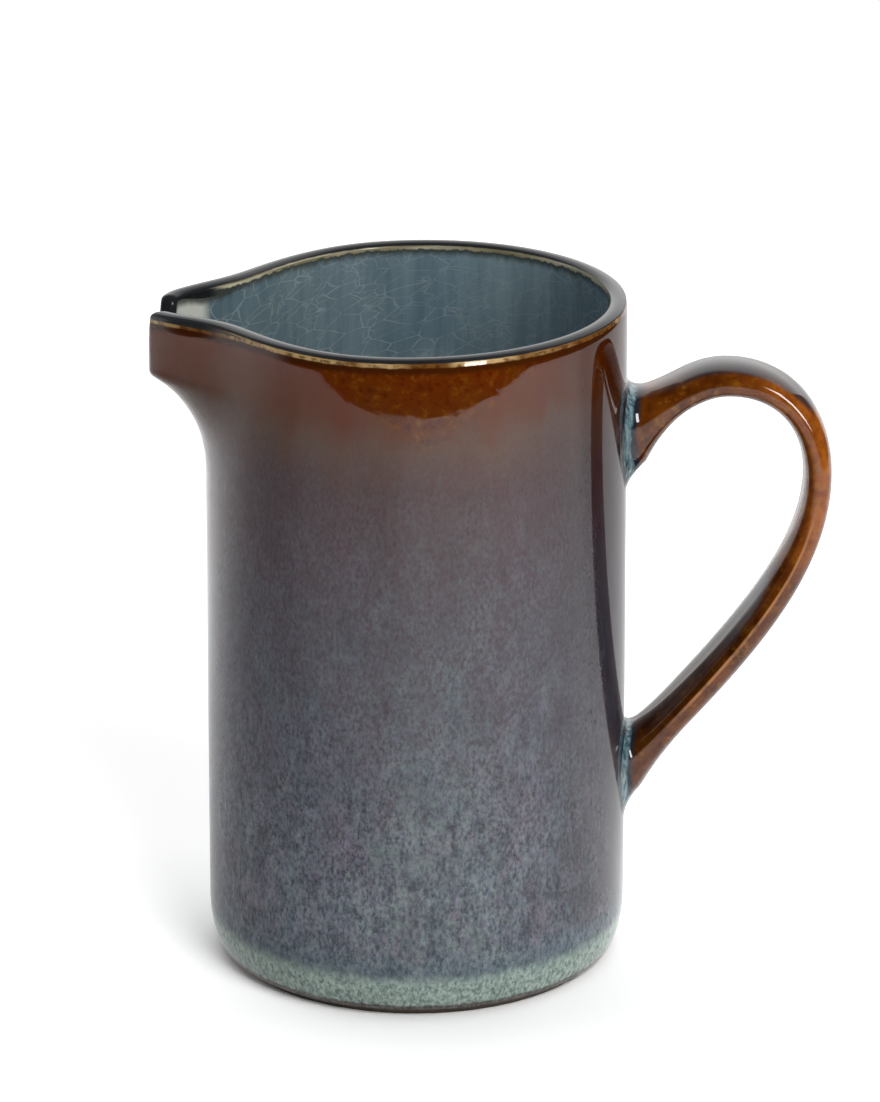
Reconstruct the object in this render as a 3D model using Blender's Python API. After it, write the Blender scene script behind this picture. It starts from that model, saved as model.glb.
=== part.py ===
"""Stoneware milk jug with a pinched, notched spout and a looped handle.

Metres, +Z up. The jug stands on Z = 0, with its spout towards -X and its handle towards +X.
Every fired layer is a solid of its own: the clay body, the clay handle, the two slip joints
that hold the handle on the wall, and the glaze coats.
"""

import math

import bmesh
import bpy
from mathutils import Vector
from mathutils.geometry import interpolate_bezier

# Clay body
JUG_HEIGHT = 0.165
RIM_RADIUS = 0.0492
BELLY_RADIUS = 0.0500
WALL = 0.0026
BASE_THICKNESS = 0.0050
INNER_CORNER = 0.0080
LIP_HEIGHT = 0.0011
RIM_TILT = 0.0012

# Foot: the belly tucks in to a bare standing ring round a shallow hollow
FOOT_TUCK = 0.0048
FOOT_CURVE_HEIGHT = 0.0130
FOOT_RIM_HEIGHT = 0.0012
FOOT_RIM_SLOPE = 0.0006
FOOT_RING_WIDTH = 0.0045
FOOT_RECESS = 0.0015

# Spout: a bell-shaped push of the wall, cut flat at the tip and notched for pouring
SPOUT_REACH = 0.0630
TIP_OVERSHOOT = 0.0009
TIP_SKEW = math.radians(12.5)
TIP_PIVOT = 0.0075
SPOUT_SPREAD = math.radians(16.4)
CHANNEL_TAPER = math.radians(1.7)
TIP_WALL = 0.0023
TIP_HEIGHT = 0.0180
TIP_CORNER = 0.0015
TIP_DIP = 0.0011
TIP_DIP_SPREAD = math.radians(12)
POUR_LIP = 0.0080
NOTCH_WIDTH = 0.0094
NOTCH_LEAN = math.radians(82)
NOTCH_FLOOR_ROUND = 0.0018
NOTCH_TOP_ROUND = 0.0024
THROAT_HEIGHT = 0.0234
THROAT_SWEEP = math.radians(64)
THROAT_CORNER = 0.0025
FLANK_DRAW = 0.0017
FLANK_ANGLE = math.radians(80)
FLANK_DEPTH = 0.1200

# Handle: an oval strap, flared where it meets the wall
HANDLE_THICKNESS = 0.0070
BEND_THICKNESS = 0.0052
BEND_LENGTH = 0.0300
HANDLE_WIDTH = 0.0152
SECTION_SQUARENESS = 2.4
UPPER_ROOT_DROP = 0.0335
UPPER_ROOT_RISE = math.radians(30)
UPPER_ROOT_THICKNESS = 0.0180
UPPER_ROOT_WIDTH = 0.0166
UPPER_FLARE_LENGTH = 0.0175
CREST_RISE = 0.0133
CREST_OUT = 0.0248
REACH_OUT = 0.0468
REACH_DROP = 0.0245
LOWER_ROOT_HEIGHT = 0.0457
LOWER_ROOT_RISE = math.radians(48)
LOWER_ROOT_THICKNESS = 0.0120
LOWER_ROOT_WIDTH = 0.0166
LOWER_FLARE_LENGTH = 0.0200
REACH_EASE = 0.36
ROOT_EASE = 0.40
ROUND_EASE = 0.60

# Slip joints: fillets drawn from the handle down on to the wall
JOINT_SPREAD = 0.0050
JOINT_CLIMB = 0.0056
JOINT_FULLNESS = 0.62

# Glaze
GLAZE = 0.0005
GLAZE_EDGE = 0.0003
GLAZE_LINE = 0.0018
FIT_GAP = 0.0003

# Facets
NOTCH_STEPS = (2, 3, 2, 4)
COLUMNS = 20
COLUMN_BIAS = 1.5
FOOT_STEPS = 5
CORNER_STEPS = 4
LIP_STEPS = 6
THROAT_STEPS = (0.0, 0.35, 0.6, 0.8, 0.93, 1.0)
TIP_STEPS = 3
SECTION_SIDES = 16
PATH_SAMPLES = 40
HANDLE_STATIONS = (8, 6, 12)
FILLET_STEPS = 4
TRIM_HALVINGS = 40

# Colours, linear RGB, and roughness
CLAY_COLOUR = (0.045, 0.032, 0.026)
CLAY_ROUGHNESS = 0.55
OUTER_COLOUR = (0.085, 0.070, 0.078)
LINER_COLOUR = (0.140, 0.215, 0.255)
AMBER_COLOUR = (0.150, 0.052, 0.014)
POOL_COLOUR = (0.120, 0.205, 0.215)
GLAZE_ROUGHNESS = 0.12

# Worked out from the sizes above
FLOOR_HEIGHT = FOOT_RECESS + BASE_THICKNESS
COAT = FIT_GAP + GLAZE
SPOUT_PEAK = SPOUT_REACH + TIP_OVERSHOOT
TIP_BASE = JUG_HEIGHT - TIP_HEIGHT
THROAT_BASE = TIP_BASE - THROAT_HEIGHT
FLANK_BASE = JUG_HEIGHT - FLANK_DEPTH
UPPER_ROOT_HEIGHT = JUG_HEIGHT - UPPER_ROOT_DROP
HANDLE_END = RIM_RADIUS + REACH_OUT + BEND_THICKNESS / 2 + COAT
ROOT_DEPTH = UPPER_ROOT_THICKNESS


def smoothstep(start, end, value):
    """Ease from 0 at start to 1 at end."""
    share = min(max((value - start) / (end - start), 0.0), 1.0)
    return share * share * (3 - 2 * share)


def smooth_min(a, b, blend):
    """The smaller of two values, rounded over where they are within blend of each other."""
    share = min(max(0.5 + 0.5 * (b - a) / blend, 0.0), 1.0)
    return b + (a - b) * share - blend * share * (1 - share)


def wall_radius(z):
    """Outside of the plain clay wall, away from the spout and above the foot."""
    share = (z - FOOT_CURVE_HEIGHT) / (JUG_HEIGHT - FOOT_CURVE_HEIGHT)
    return BELLY_RADIUS + (RIM_RADIUS - BELLY_RADIUS) * share


def foot_lean(z):
    """Turn of the foot curve at height z, from level to upright."""
    return math.acos(1 - z / FOOT_CURVE_HEIGHT)


def foot_heights(start):
    """Heights up the foot curve, at even turns from start to the belly."""
    first = foot_lean(start)
    turns = [first + (math.pi / 2 - first) * k / FOOT_STEPS for k in range(FOOT_STEPS + 1)]
    return [FOOT_CURVE_HEIGHT * (1 - math.cos(turn)) for turn in turns]


def foot_radius(z):
    """Outside of the clay on the foot curve."""
    return BELLY_RADIUS - FOOT_TUCK * (1 - math.sin(foot_lean(z)))


def throat_push(z, rise, reach):
    """How far the spout stands off the wall at height z: an arc that leaves the wall smoothly."""
    turn = min(max((z - THROAT_BASE) / rise, 0.0) * math.sin(THROAT_SWEEP), 1.0)
    arc = reach * (1 - math.sqrt(1 - turn * turn)) / (1 - math.cos(THROAT_SWEEP))
    return max(smooth_min(arc, reach, THROAT_CORNER), 0.0)


def flank_draw(angle, z):
    """How far the wall is drawn in beside the spout."""
    if abs(angle) >= FLANK_ANGLE:
        return 0.0
    swing = math.sin(math.pi * angle / FLANK_ANGLE) ** 2
    return FLANK_DRAW * swing * smoothstep(FLANK_BASE, JUG_HEIGHT, z)


def tip_reach(angle):
    """Distance from the axis to the cut at the spout's tip, askew about its near corner."""
    slope = math.tan(TIP_SKEW)
    along = math.cos(angle) + slope * math.sin(angle)
    return (SPOUT_REACH - TIP_PIVOT * slope) / along if along > 0.5 else 2 * SPOUT_REACH


def rim_dip(angle):
    """How far the rim lies below the jug's height: a slight tilt to the spout, more at its tip."""
    tilt = RIM_TILT * (1 + math.cos(angle)) / 2
    return tilt + TIP_DIP * math.exp(-((angle / TIP_DIP_SPREAD) ** 2))


def outer_radius(angle, z):
    """Outside of the clay at an angle from the spout."""
    if z < FOOT_CURVE_HEIGHT:
        return foot_radius(z)
    bell = math.exp(-((angle / SPOUT_SPREAD) ** 2))
    push = throat_push(z, THROAT_HEIGHT, SPOUT_PEAK - RIM_RADIUS) * bell
    radius = wall_radius(z) + push - flank_draw(angle, z)
    return smooth_min(radius, tip_reach(angle), TIP_CORNER)


def inner_radius(angle, z):
    """Inside of the clay wall at an angle from the spout."""
    bell = math.exp(-((angle / (SPOUT_SPREAD - CHANNEL_TAPER)) ** 2))
    reach = SPOUT_REACH - TIP_WALL - (RIM_RADIUS - WALL)
    push = throat_push(z, THROAT_HEIGHT + WALL / 2, reach) * bell
    radius = wall_radius(z) - WALL + push - flank_draw(angle, z)
    return smooth_min(radius, tip_reach(angle) - TIP_WALL, TIP_CORNER)


class Column:
    """One line up the wall and over the rim. In the notch it leans aside, square to the rim."""

    def __init__(self, base, across, height, lean):
        self.base = base
        self.across = across
        self.height = height
        self.lean = lean

    def below(self, drop):
        """Angle and height at a drop from the crown, square to the rim's line."""
        if self.across is None:
            return self.base, self.height - drop
        across = self.across + drop * math.sin(self.lean)
        return math.atan(across / SPOUT_REACH), self.height - drop * math.cos(self.lean)

    def tip(self, share):
        """Angle and height at a share of the way from the tip's base to the crown's edge."""
        angle, height = self.below(LIP_HEIGHT)
        return self.base + (angle - self.base) * share, TIP_BASE + (height - TIP_BASE) * share


def notch_line():
    """Half of the rim across the notch, from its middle out, as (across, height, lean)."""
    depth = TIP_HEIGHT - POUR_LIP
    rounds = NOTCH_FLOOR_ROUND + NOTCH_TOP_ROUND
    side = (depth - rounds * (1 - math.cos(NOTCH_LEAN))) / math.sin(NOTCH_LEAN)
    side_foot = (NOTCH_WIDTH - side * math.cos(NOTCH_LEAN)) / 2
    side_head = (NOTCH_WIDTH + side * math.cos(NOTCH_LEAN)) / 2
    floor = JUG_HEIGHT - depth
    floor_end = side_foot - NOTCH_FLOOR_ROUND * math.sin(NOTCH_LEAN)
    round_end = side_head + NOTCH_TOP_ROUND * math.sin(NOTCH_LEAN)
    flat_steps, low_steps, side_steps, top_steps = NOTCH_STEPS
    line = [(floor_end * k / flat_steps, floor, 0.0) for k in range(flat_steps)]
    for k in range(low_steps):
        lean = NOTCH_LEAN * k / low_steps
        across = floor_end + NOTCH_FLOOR_ROUND * math.sin(lean)
        line.append((across, floor + NOTCH_FLOOR_ROUND * (1 - math.cos(lean)), lean))
    low = floor + NOTCH_FLOOR_ROUND * (1 - math.cos(NOTCH_LEAN))
    for k in range(side_steps):
        run = side * k / side_steps
        across = side_foot + run * math.cos(NOTCH_LEAN)
        line.append((across, low + run * math.sin(NOTCH_LEAN), NOTCH_LEAN))
    for k in range(top_steps + 1):
        lean = NOTCH_LEAN * (1 - k / top_steps)
        across = round_end - NOTCH_TOP_ROUND * math.sin(lean)
        line.append((across, JUG_HEIGHT - NOTCH_TOP_ROUND * (1 - math.cos(lean)), lean))
    return line


def rim_columns():
    """Columns round the jug from the spout's middle, closer together at the spout."""
    line = notch_line()
    edge = math.atan(line[-1][0] / SPOUT_REACH)
    half = []
    for k, (across, height, lean) in enumerate(line):
        dip = rim_dip(math.atan(across / SPOUT_REACH))
        half.append(Column(edge * k / (len(line) - 1), across, height - dip, lean))
    for k in range(1, COLUMNS + 1):
        angle = edge + (math.pi - edge) * (k / COLUMNS) ** COLUMN_BIAS
        half.append(Column(angle, None, JUG_HEIGHT - rim_dip(angle), 0.0))
    other = []
    for column in reversed(half[1:-1]):
        across = None if column.across is None else -column.across
        other.append(Column(-column.base, across, column.height, -column.lean))
    return half + other


def wall_path(column):
    """Angles and heights up one column, from where the flanks begin to draw in to the crown's edge."""
    throat = [THROAT_BASE + THROAT_HEIGHT * share for share in THROAT_STEPS]
    path = [(column.base, z) for z in sorted([FLANK_BASE, *throat])]
    return path + [column.tip(k / TIP_STEPS) for k in range(1, TIP_STEPS + 1)]


def outside_profile(column, start, coat):
    """Angle, radius and height up the outside, from the foot to the crown's edge, coat off the clay."""
    path = [(column.base, z) for z in foot_heights(start)] + wall_path(column)
    return [(angle, outer_radius(angle, z) + coat, z) for angle, z in path]


def axis_place():
    """Where the jug's axis stands along X, for the middle of the part to lie over the origin."""
    profiles = [outside_profile(column, GLAZE_LINE, COAT) for column in rim_columns()]
    spout_end = max(radius * math.cos(angle) for profile in profiles for angle, radius, _ in profile)
    return (spout_end - HANDLE_END) / 2


def inside_profile(column, coat):
    """Angle, radius and height down the inside, from the crown's edge to the floor."""
    path = reversed(wall_path(column))
    wall = [(angle, inner_radius(angle, z) - coat, z) for angle, z in path]
    centre_z = FLOOR_HEIGHT + INNER_CORNER
    centre_r = wall_radius(centre_z) - WALL - INNER_CORNER
    size = INNER_CORNER - coat
    for k in range(CORNER_STEPS + 1):
        turn = math.pi / 2 * k / CORNER_STEPS
        z = centre_z - size * math.sin(turn)
        wall.append((column.base, centre_r + size * math.cos(turn), z))
    return wall


def lip_profile(column):
    """Rounded crown of the rim, from just past its outer edge to just before its inner one."""
    profile = []
    for k in range(1, LIP_STEPS):
        turn = math.pi * k / LIP_STEPS
        angle, z = column.below(LIP_HEIGHT * (1 - math.sin(turn)))
        outer = outer_radius(angle, z)
        inner = inner_radius(angle, z)
        radius = (outer + inner) / 2 + (outer - inner) / 2 * math.cos(turn)
        profile.append((angle, radius, z))
    return profile


def place(angle, radius, z):
    """Point at an angle from the spout."""
    return Vector((-radius * math.cos(angle), radius * math.sin(angle), z))


def rings_from(profile_of):
    """Rings of points from one profile for each column round the jug."""
    lines = []
    for column in rim_columns():
        lines.append([place(*point) for point in profile_of(column)])
    return list(zip(*lines))


def make_material(name, colour, roughness):
    """Plain glazed or bare pottery."""
    material = bpy.data.materials.new(name)
    material.use_nodes = True
    shader = material.node_tree.nodes["Principled BSDF"]
    shader.inputs["Base Color"].default_value = (*colour, 1.0)
    shader.inputs["Roughness"].default_value = roughness
    shader.inputs["Metallic"].default_value = 0.0
    material.diffuse_color = (*colour, 1.0)
    return material


def split(corners):
    """Triangles of a four-cornered patch, parted the same way on the clay and on its glaze."""
    a, b, c, d = corners
    out_a, out_b, out_c, out_d = (math.hypot(v.co.x, v.co.y) for v in corners)
    if out_a + out_c > out_b + out_d:
        return (a, b, c), (a, c, d)
    return (b, c, d), (b, d, a)


def skin(name, rings, material, root, wrap=False, poles=()):
    """Closed object from rings of points: wrapped round on itself, or closed at two poles."""
    mesh_data = bmesh.new()
    loops = [[mesh_data.verts.new(point) for point in ring] for ring in rings]
    pairs = list(zip(loops, loops[1:]))
    if wrap:
        pairs.append((loops[-1], loops[0]))
    count = len(loops[0])
    for lower, upper in pairs:
        for i in range(count):
            j = (i + 1) % count
            for triangle in split((lower[i], lower[j], upper[j], upper[i])):
                mesh_data.faces.new(triangle)
    for loop, pole in zip((loops[0], loops[-1]), poles):
        tip = mesh_data.verts.new(pole)
        for i in range(count):
            mesh_data.faces.new((loop[i], loop[(i + 1) % count], tip))
    bmesh.ops.recalc_face_normals(mesh_data, faces=mesh_data.faces)
    mesh = bpy.data.meshes.new(name)
    mesh_data.to_mesh(mesh)
    mesh_data.free()
    mesh.shade_smooth()
    mesh.set_sharp_from_angle(angle=math.radians(35))
    mesh.materials.append(material)
    obj = bpy.data.objects.new(name, mesh)
    bpy.context.scene.collection.objects.link(obj)
    obj.parent = root
    return obj


def make_body(root):
    """Clay body: one cast shell with its spout, notch, floor and hollowed foot."""

    def profile(column):
        standing = foot_radius(FOOT_RIM_HEIGHT) - FOOT_RIM_SLOPE
        hollow = standing - FOOT_RING_WIDTH
        under = ((hollow - FOOT_RECESS, FOOT_RECESS), (hollow, 0.0), (standing, 0.0))
        foot = [(column.base, radius, z) for radius, z in under]
        outside = outside_profile(column, FOOT_RIM_HEIGHT, 0.0)
        return foot + outside + lip_profile(column) + inside_profile(column, 0.0)

    poles = (Vector((0, 0, FOOT_RECESS)), Vector((0, 0, FLOOR_HEIGHT)))
    clay = make_material("bare_stoneware", CLAY_COLOUR, CLAY_ROUGHNESS)
    return skin("stoneware_body", rings_from(profile), clay, root, poles=poles)


def make_liner(root):
    """Crackled lining glaze, poured inside from just under the crown of the rim to the floor."""

    def profile(column):
        clay_side = inside_profile(column, FIT_GAP)
        open_side = inside_profile(column, COAT)
        edge = inside_profile(column, FIT_GAP + GLAZE_EDGE)[0]
        return clay_side[::-1] + [edge] + open_side[1:]

    poles = (Vector((0, 0, FLOOR_HEIGHT + FIT_GAP)), Vector((0, 0, FLOOR_HEIGHT + COAT)))
    glaze = make_material("lining_glaze", LINER_COLOUR, GLAZE_ROUGHNESS)
    return skin("lining_glaze", rings_from(profile), glaze, root, poles=poles)


def make_outer_glaze(root, windows):
    """Glaze coat from the bare foot to the rim, cut out round the two handle joints."""

    def profile(column):
        clay_side = outside_profile(column, GLAZE_LINE, FIT_GAP)
        open_side = outside_profile(column, GLAZE_LINE, COAT)
        edge = outside_profile(column, GLAZE_LINE, FIT_GAP + GLAZE_EDGE)
        return [edge[0], *open_side[1:-1], edge[-1]] + clay_side[::-1]

    glaze = make_material("outer_glaze", OUTER_COLOUR, GLAZE_ROUGHNESS)
    coat = skin("outer_glaze", rings_from(profile), glaze, root, wrap=True)
    for window in windows:
        cut = coat.modifiers.new(window.name, "BOOLEAN")
        cut.operation = "DIFFERENCE"
        cut.solver = "EXACT"
        cut.object = window
    return coat


class HandlePath:
    """Centre line of the handle in the XZ plane, from inside the wall to inside the wall."""

    def __init__(self):
        upper = Vector((wall_radius(UPPER_ROOT_HEIGHT), 0, UPPER_ROOT_HEIGHT))
        lower = Vector((wall_radius(LOWER_ROOT_HEIGHT), 0, LOWER_ROOT_HEIGHT))
        rise = Vector((math.cos(UPPER_ROOT_RISE), 0, math.sin(UPPER_ROOT_RISE)))
        fall = Vector((math.cos(LOWER_ROOT_RISE), 0, math.sin(LOWER_ROOT_RISE)))
        crest = Vector((RIM_RADIUS + CREST_OUT, 0, UPPER_ROOT_HEIGHT + CREST_RISE))
        reach = Vector((RIM_RADIUS + REACH_OUT, 0, crest.z - REACH_DROP))
        out = (crest.x - upper.x) * ROOT_EASE
        round_out = (reach.x - crest.x) * ROUND_EASE
        round_down = (crest.z - reach.z) * ROUND_EASE
        fall_length = reach.z - lower.z
        down = Vector((0, 0, -fall_length * REACH_EASE))
        back = fall * fall_length * ROOT_EASE
        spans = (
            (upper - rise * ROOT_DEPTH, upper + rise * out, crest - Vector((out, 0, 0)), crest),
            (crest, crest + Vector((round_out, 0, 0)), reach + Vector((0, 0, round_down)), reach),
            (reach, reach + down, lower + back, lower - fall * ROOT_DEPTH),
        )
        self.points = [spans[0][0]]
        self.marks = [0.0]
        self.lengths = [0.0]
        for span in spans:
            for point in interpolate_bezier(*span, PATH_SAMPLES)[1:]:
                self.lengths.append(self.lengths[-1] + (point - self.points[-1]).length)
                self.points.append(point)
            self.marks.append(self.lengths[-1])
        self.upper = self.crossing(range(PATH_SAMPLES))
        self.lower = self.crossing(range(len(self.points) - 2, 0, -1))

    def crossing(self, order):
        """Length along the path at which it comes out of the wall."""
        for k in order:
            point = self.points[k]
            if point.x > wall_radius(point.z):
                return self.lengths[k]
        raise ValueError("the handle's path stays inside the wall")

    def at(self, length):
        """Point and direction at a length along the path."""
        k = 1
        while k < len(self.lengths) - 1 and self.lengths[k] < length:
            k += 1
        before = self.lengths[k - 1]
        share = (length - before) / (self.lengths[k] - before)
        point = self.points[k - 1].lerp(self.points[k], share)
        ahead = self.points[min(k + 1, len(self.points) - 1)] - self.points[k - 1]
        behind = self.points[k] - self.points[max(k - 2, 0)]
        return point, behind.lerp(ahead, share).normalized()

    def half_sizes(self, length):
        """Half thickness and half width of the bare handle at a length along the path."""
        upper = min(max(1 - (length - self.upper) / UPPER_FLARE_LENGTH, 0.0), 1.0) ** 2
        lower = min(max(1 - (self.lower - length) / LOWER_FLARE_LENGTH, 0.0), 1.0) ** 2
        bend = math.exp(-(((length - self.marks[2]) / BEND_LENGTH) ** 2))
        thickness = HANDLE_THICKNESS + (BEND_THICKNESS - HANDLE_THICKNESS) * bend
        thickness += (UPPER_ROOT_THICKNESS - HANDLE_THICKNESS) * upper
        thickness += (LOWER_ROOT_THICKNESS - HANDLE_THICKNESS) * lower
        width = HANDLE_WIDTH + (UPPER_ROOT_WIDTH - HANDLE_WIDTH) * upper
        width += (LOWER_ROOT_WIDTH - HANDLE_WIDTH) * lower
        return thickness / 2, width / 2

    def surface(self, length, turn, coat):
        """Point on the handle's oval section, coat off the clay."""
        point, ahead = self.at(length)
        outward = Vector((-ahead.z, 0, ahead.x))
        half_thickness, half_width = self.half_sizes(length)
        power = 2 / SECTION_SQUARENESS
        up = math.copysign(abs(math.cos(turn)) ** power, math.cos(turn))
        side = math.copysign(abs(math.sin(turn)) ** power, math.sin(turn))
        across = Vector((0, side * (half_width + coat), 0))
        return point + outward * up * (half_thickness + coat) + across

    def trim(self, turn, coat, clearance, upper):
        """Length at which one line along the handle meets the wall, clearance off the clay."""
        inside = 0.0 if upper else self.lengths[-1]
        outside = self.marks[1] if upper else self.marks[2]
        for _ in range(TRIM_HALVINGS):
            middle = (inside + outside) / 2
            point = self.surface(middle, turn, coat)
            if math.hypot(point.x, point.y) < wall_radius(point.z) + clearance:
                inside = middle
            else:
                outside = middle
        return outside

    def stations(self):
        """Lengths along the free handle, with one at the crest and one at the reach."""
        stops = [self.upper, self.marks[1], self.marks[2], self.lower]
        lengths = [self.upper]
        for start, end, count in zip(stops, stops[1:], HANDLE_STATIONS):
            lengths += [start + (end - start) * k / count for k in range(1, count + 1)]
        return lengths

    def line(self, turn, coat, start, end):
        """Points of one line along the handle, with its ends moved to the given lengths."""
        points = []
        for length in self.stations():
            near_upper = max(1 - (length - self.upper) / (self.marks[1] - self.upper), 0.0)
            near_lower = max((length - self.marks[2]) / (self.lower - self.marks[2]), 0.0)
            shift = (start - self.upper) * near_upper + (end - self.lower) * near_lower
            points.append(self.surface(length + shift, turn, coat))
        return points


def section_turns():
    """Turns round the handle's section."""
    return [2 * math.pi * k / SECTION_SIDES for k in range(SECTION_SIDES)]


def make_handle(root, path):
    """Clay handle, its ends shaped to the wall."""
    lines = []
    for turn in section_turns():
        start = path.trim(turn, 0.0, FIT_GAP, True)
        end = path.trim(turn, 0.0, FIT_GAP, False)
        lines.append(path.line(turn, 0.0, start, end))
    poles = []
    for length in (path.upper, path.lower):
        z = path.at(length)[0].z
        poles.append(Vector((wall_radius(z) + FIT_GAP, 0, z)))
    clay = make_material("handle_stoneware", CLAY_COLOUR, CLAY_ROUGHNESS)
    return skin("handle", list(zip(*lines)), clay, root, poles=poles)


def make_handle_glaze(root, path):
    """Glaze round the free length of the handle, between the two slip joints."""
    climb = JOINT_CLIMB + FIT_GAP
    lines = []
    for turn in section_turns():
        start = path.trim(turn, COAT, COAT, True) + climb
        end = path.trim(turn, COAT, COAT, False) - climb
        open_side = path.line(turn, COAT, start, end)
        clay_side = path.line(turn, FIT_GAP, start, end)
        lines.append(open_side + clay_side[::-1])
    glaze = make_material("amber_glaze", AMBER_COLOUR, GLAZE_ROUGHNESS)
    return skin("handle_glaze", list(zip(*lines)), glaze, root, wrap=True)


def joint_outline(path, upper, spread):
    """Outline on the wall round a handle root, spread out from the handle, as (y, z)."""
    turns = section_turns()
    roots = []
    for turn in turns:
        point = path.surface(path.trim(turn, FIT_GAP, FIT_GAP, upper), turn, FIT_GAP)
        roots.append((point.y, point.z))
    outline = []
    for k, (y, z) in enumerate(roots):
        before = roots[k - 1]
        after = roots[(k + 1) % len(roots)]
        along = Vector((after[0] - before[0], after[1] - before[1])).normalized()
        facing = 1 if upper else -1
        outline.append((y - facing * along.y * spread, z + facing * along.x * spread))
    return outline


def on_wall(y, z, clearance):
    """Point over the wall on the handle's side."""
    radius = wall_radius(z) + clearance
    return Vector((math.sqrt(radius * radius - y * y), y, z))


def make_joint(name, root, path, upper):
    """Slip joint: a ring round the handle root, hollowed from the handle down to the wall."""
    direction = 1 if upper else -1
    spans = []
    for turn, (y, z) in zip(section_turns(), joint_outline(path, upper, JOINT_SPREAD)):
        corner = path.trim(turn, FIT_GAP, FIT_GAP, upper)
        bend = path.trim(turn, COAT, COAT, upper)
        climb = bend + JOINT_CLIMB * direction
        top = path.surface(climb, turn, COAT)
        back = path.surface(climb - JOINT_CLIMB / 8 * direction, turn, COAT) - top
        middle = path.surface(bend, turn, COAT)
        edge = on_wall(y, z, COAT)
        knee = top + back.normalized() * (middle - top).length * JOINT_FULLNESS
        heave = edge.lerp(middle, JOINT_FULLNESS)
        fillet = interpolate_bezier(edge, heave, knee, top, FILLET_STEPS + 1)
        heel = path.surface(corner, turn, FIT_GAP)
        collar = path.surface(climb, turn, FIT_GAP)
        spans.append([heel, on_wall(y, z, FIT_GAP), *fillet, collar])
    glaze = make_material(name, POOL_COLOUR, GLAZE_ROUGHNESS)
    return skin(name, list(zip(*spans)), glaze, root, wrap=True)


def make_window(name, root, path, upper):
    """Cutter for the opening in the outer glaze round a slip joint."""
    outline = joint_outline(path, upper, JOINT_SPREAD + FIT_GAP)
    near = RIM_RADIUS / 2
    far = RIM_RADIUS + REACH_OUT
    rings = [[Vector((x, y, z)) for y, z in outline] for x in (near, far)]
    middle = sum(z for _, z in outline) / len(outline)
    poles = (Vector((near, 0, middle)), Vector((far, 0, middle)))
    cutter = skin(name, rings, bpy.data.materials["handle_stoneware"], root, poles=poles)
    cutter.hide_render = True
    cutter.display_type = "WIRE"
    return cutter


def main():
    """Build the jug, with the middle of its footprint over the origin."""
    for obj in list(bpy.data.objects):
        bpy.data.objects.remove(obj, do_unlink=True)
    root = bpy.data.objects.new("jug_axis", None)
    root.location.x = axis_place()
    bpy.context.scene.collection.objects.link(root)
    path = HandlePath()
    make_body(root)
    make_liner(root)
    make_handle(root, path)
    make_handle_glaze(root, path)
    make_joint("upper_slip_joint", root, path, True)
    make_joint("lower_slip_joint", root, path, False)
    upper_window = make_window("upper_window", root, path, True)
    lower_window = make_window("lower_window", root, path, False)
    make_outer_glaze(root, (upper_window, lower_window))


main()
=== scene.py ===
import math

import bmesh
import bpy
import numpy as np
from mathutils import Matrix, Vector


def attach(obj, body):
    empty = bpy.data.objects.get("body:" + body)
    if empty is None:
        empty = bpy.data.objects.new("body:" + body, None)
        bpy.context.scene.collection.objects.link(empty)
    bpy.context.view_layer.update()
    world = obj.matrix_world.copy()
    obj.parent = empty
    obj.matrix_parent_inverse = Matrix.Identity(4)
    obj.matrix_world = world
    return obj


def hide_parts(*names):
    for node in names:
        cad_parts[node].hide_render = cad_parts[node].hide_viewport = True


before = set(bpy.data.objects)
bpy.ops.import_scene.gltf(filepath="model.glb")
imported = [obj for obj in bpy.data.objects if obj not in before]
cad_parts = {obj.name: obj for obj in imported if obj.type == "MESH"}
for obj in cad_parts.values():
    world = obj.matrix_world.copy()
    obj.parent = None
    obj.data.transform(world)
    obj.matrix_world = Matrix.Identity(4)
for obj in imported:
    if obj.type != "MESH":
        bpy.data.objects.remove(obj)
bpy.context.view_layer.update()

# Sizes in metres, as in the solids. Angles round the jug start at the spout, which points to -X.
JUG_HEIGHT = 0.165
RIM_RADIUS = 0.0492
BELLY_RADIUS = 0.0500
WALL = 0.0026
BASE_THICKNESS = 0.0050
INNER_CORNER = 0.0080
LIP_HEIGHT = 0.0011
RIM_TILT = 0.0012

FOOT_TUCK = 0.0048
FOOT_CURVE_HEIGHT = 0.0130
FOOT_RIM_HEIGHT = 0.0012
FOOT_RIM_SLOPE = 0.0006
FOOT_RING_WIDTH = 0.0045
FOOT_RING_ROUND = 0.0002
FOOT_RING_SLOPE = 0.0003
FOOT_RECESS = 0.0015

SPOUT_REACH = 0.0630
TIP_OVERSHOOT = 0.0009
TIP_SKEW = math.radians(12.5)
TIP_PIVOT = 0.0075
TIP_LEAST_COSINE = 0.3
SPOUT_SPREAD = math.radians(16.4)
CHANNEL_TAPER = math.radians(1.7)
TIP_WALL = 0.0023
TIP_HEIGHT = 0.0180
TIP_CORNER = 0.0015
TIP_DIP = 0.0011
TIP_DIP_SPREAD = math.radians(12)
POUR_LIP = 0.0080
NOTCH_WIDTH = 0.0094
NOTCH_LEAN = math.radians(82)
NOTCH_FLOOR_ROUND = 0.0018
NOTCH_TOP_ROUND = 0.0024
NOTCH_ZONE = 0.6
THROAT_HEIGHT = 0.0234
THROAT_SWEEP = math.radians(64)
THROAT_CORNER = 0.0025
FLANK_DRAW = 0.0017
FLANK_ANGLE = math.radians(80)
FLANK_DEPTH = 0.1200

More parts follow.
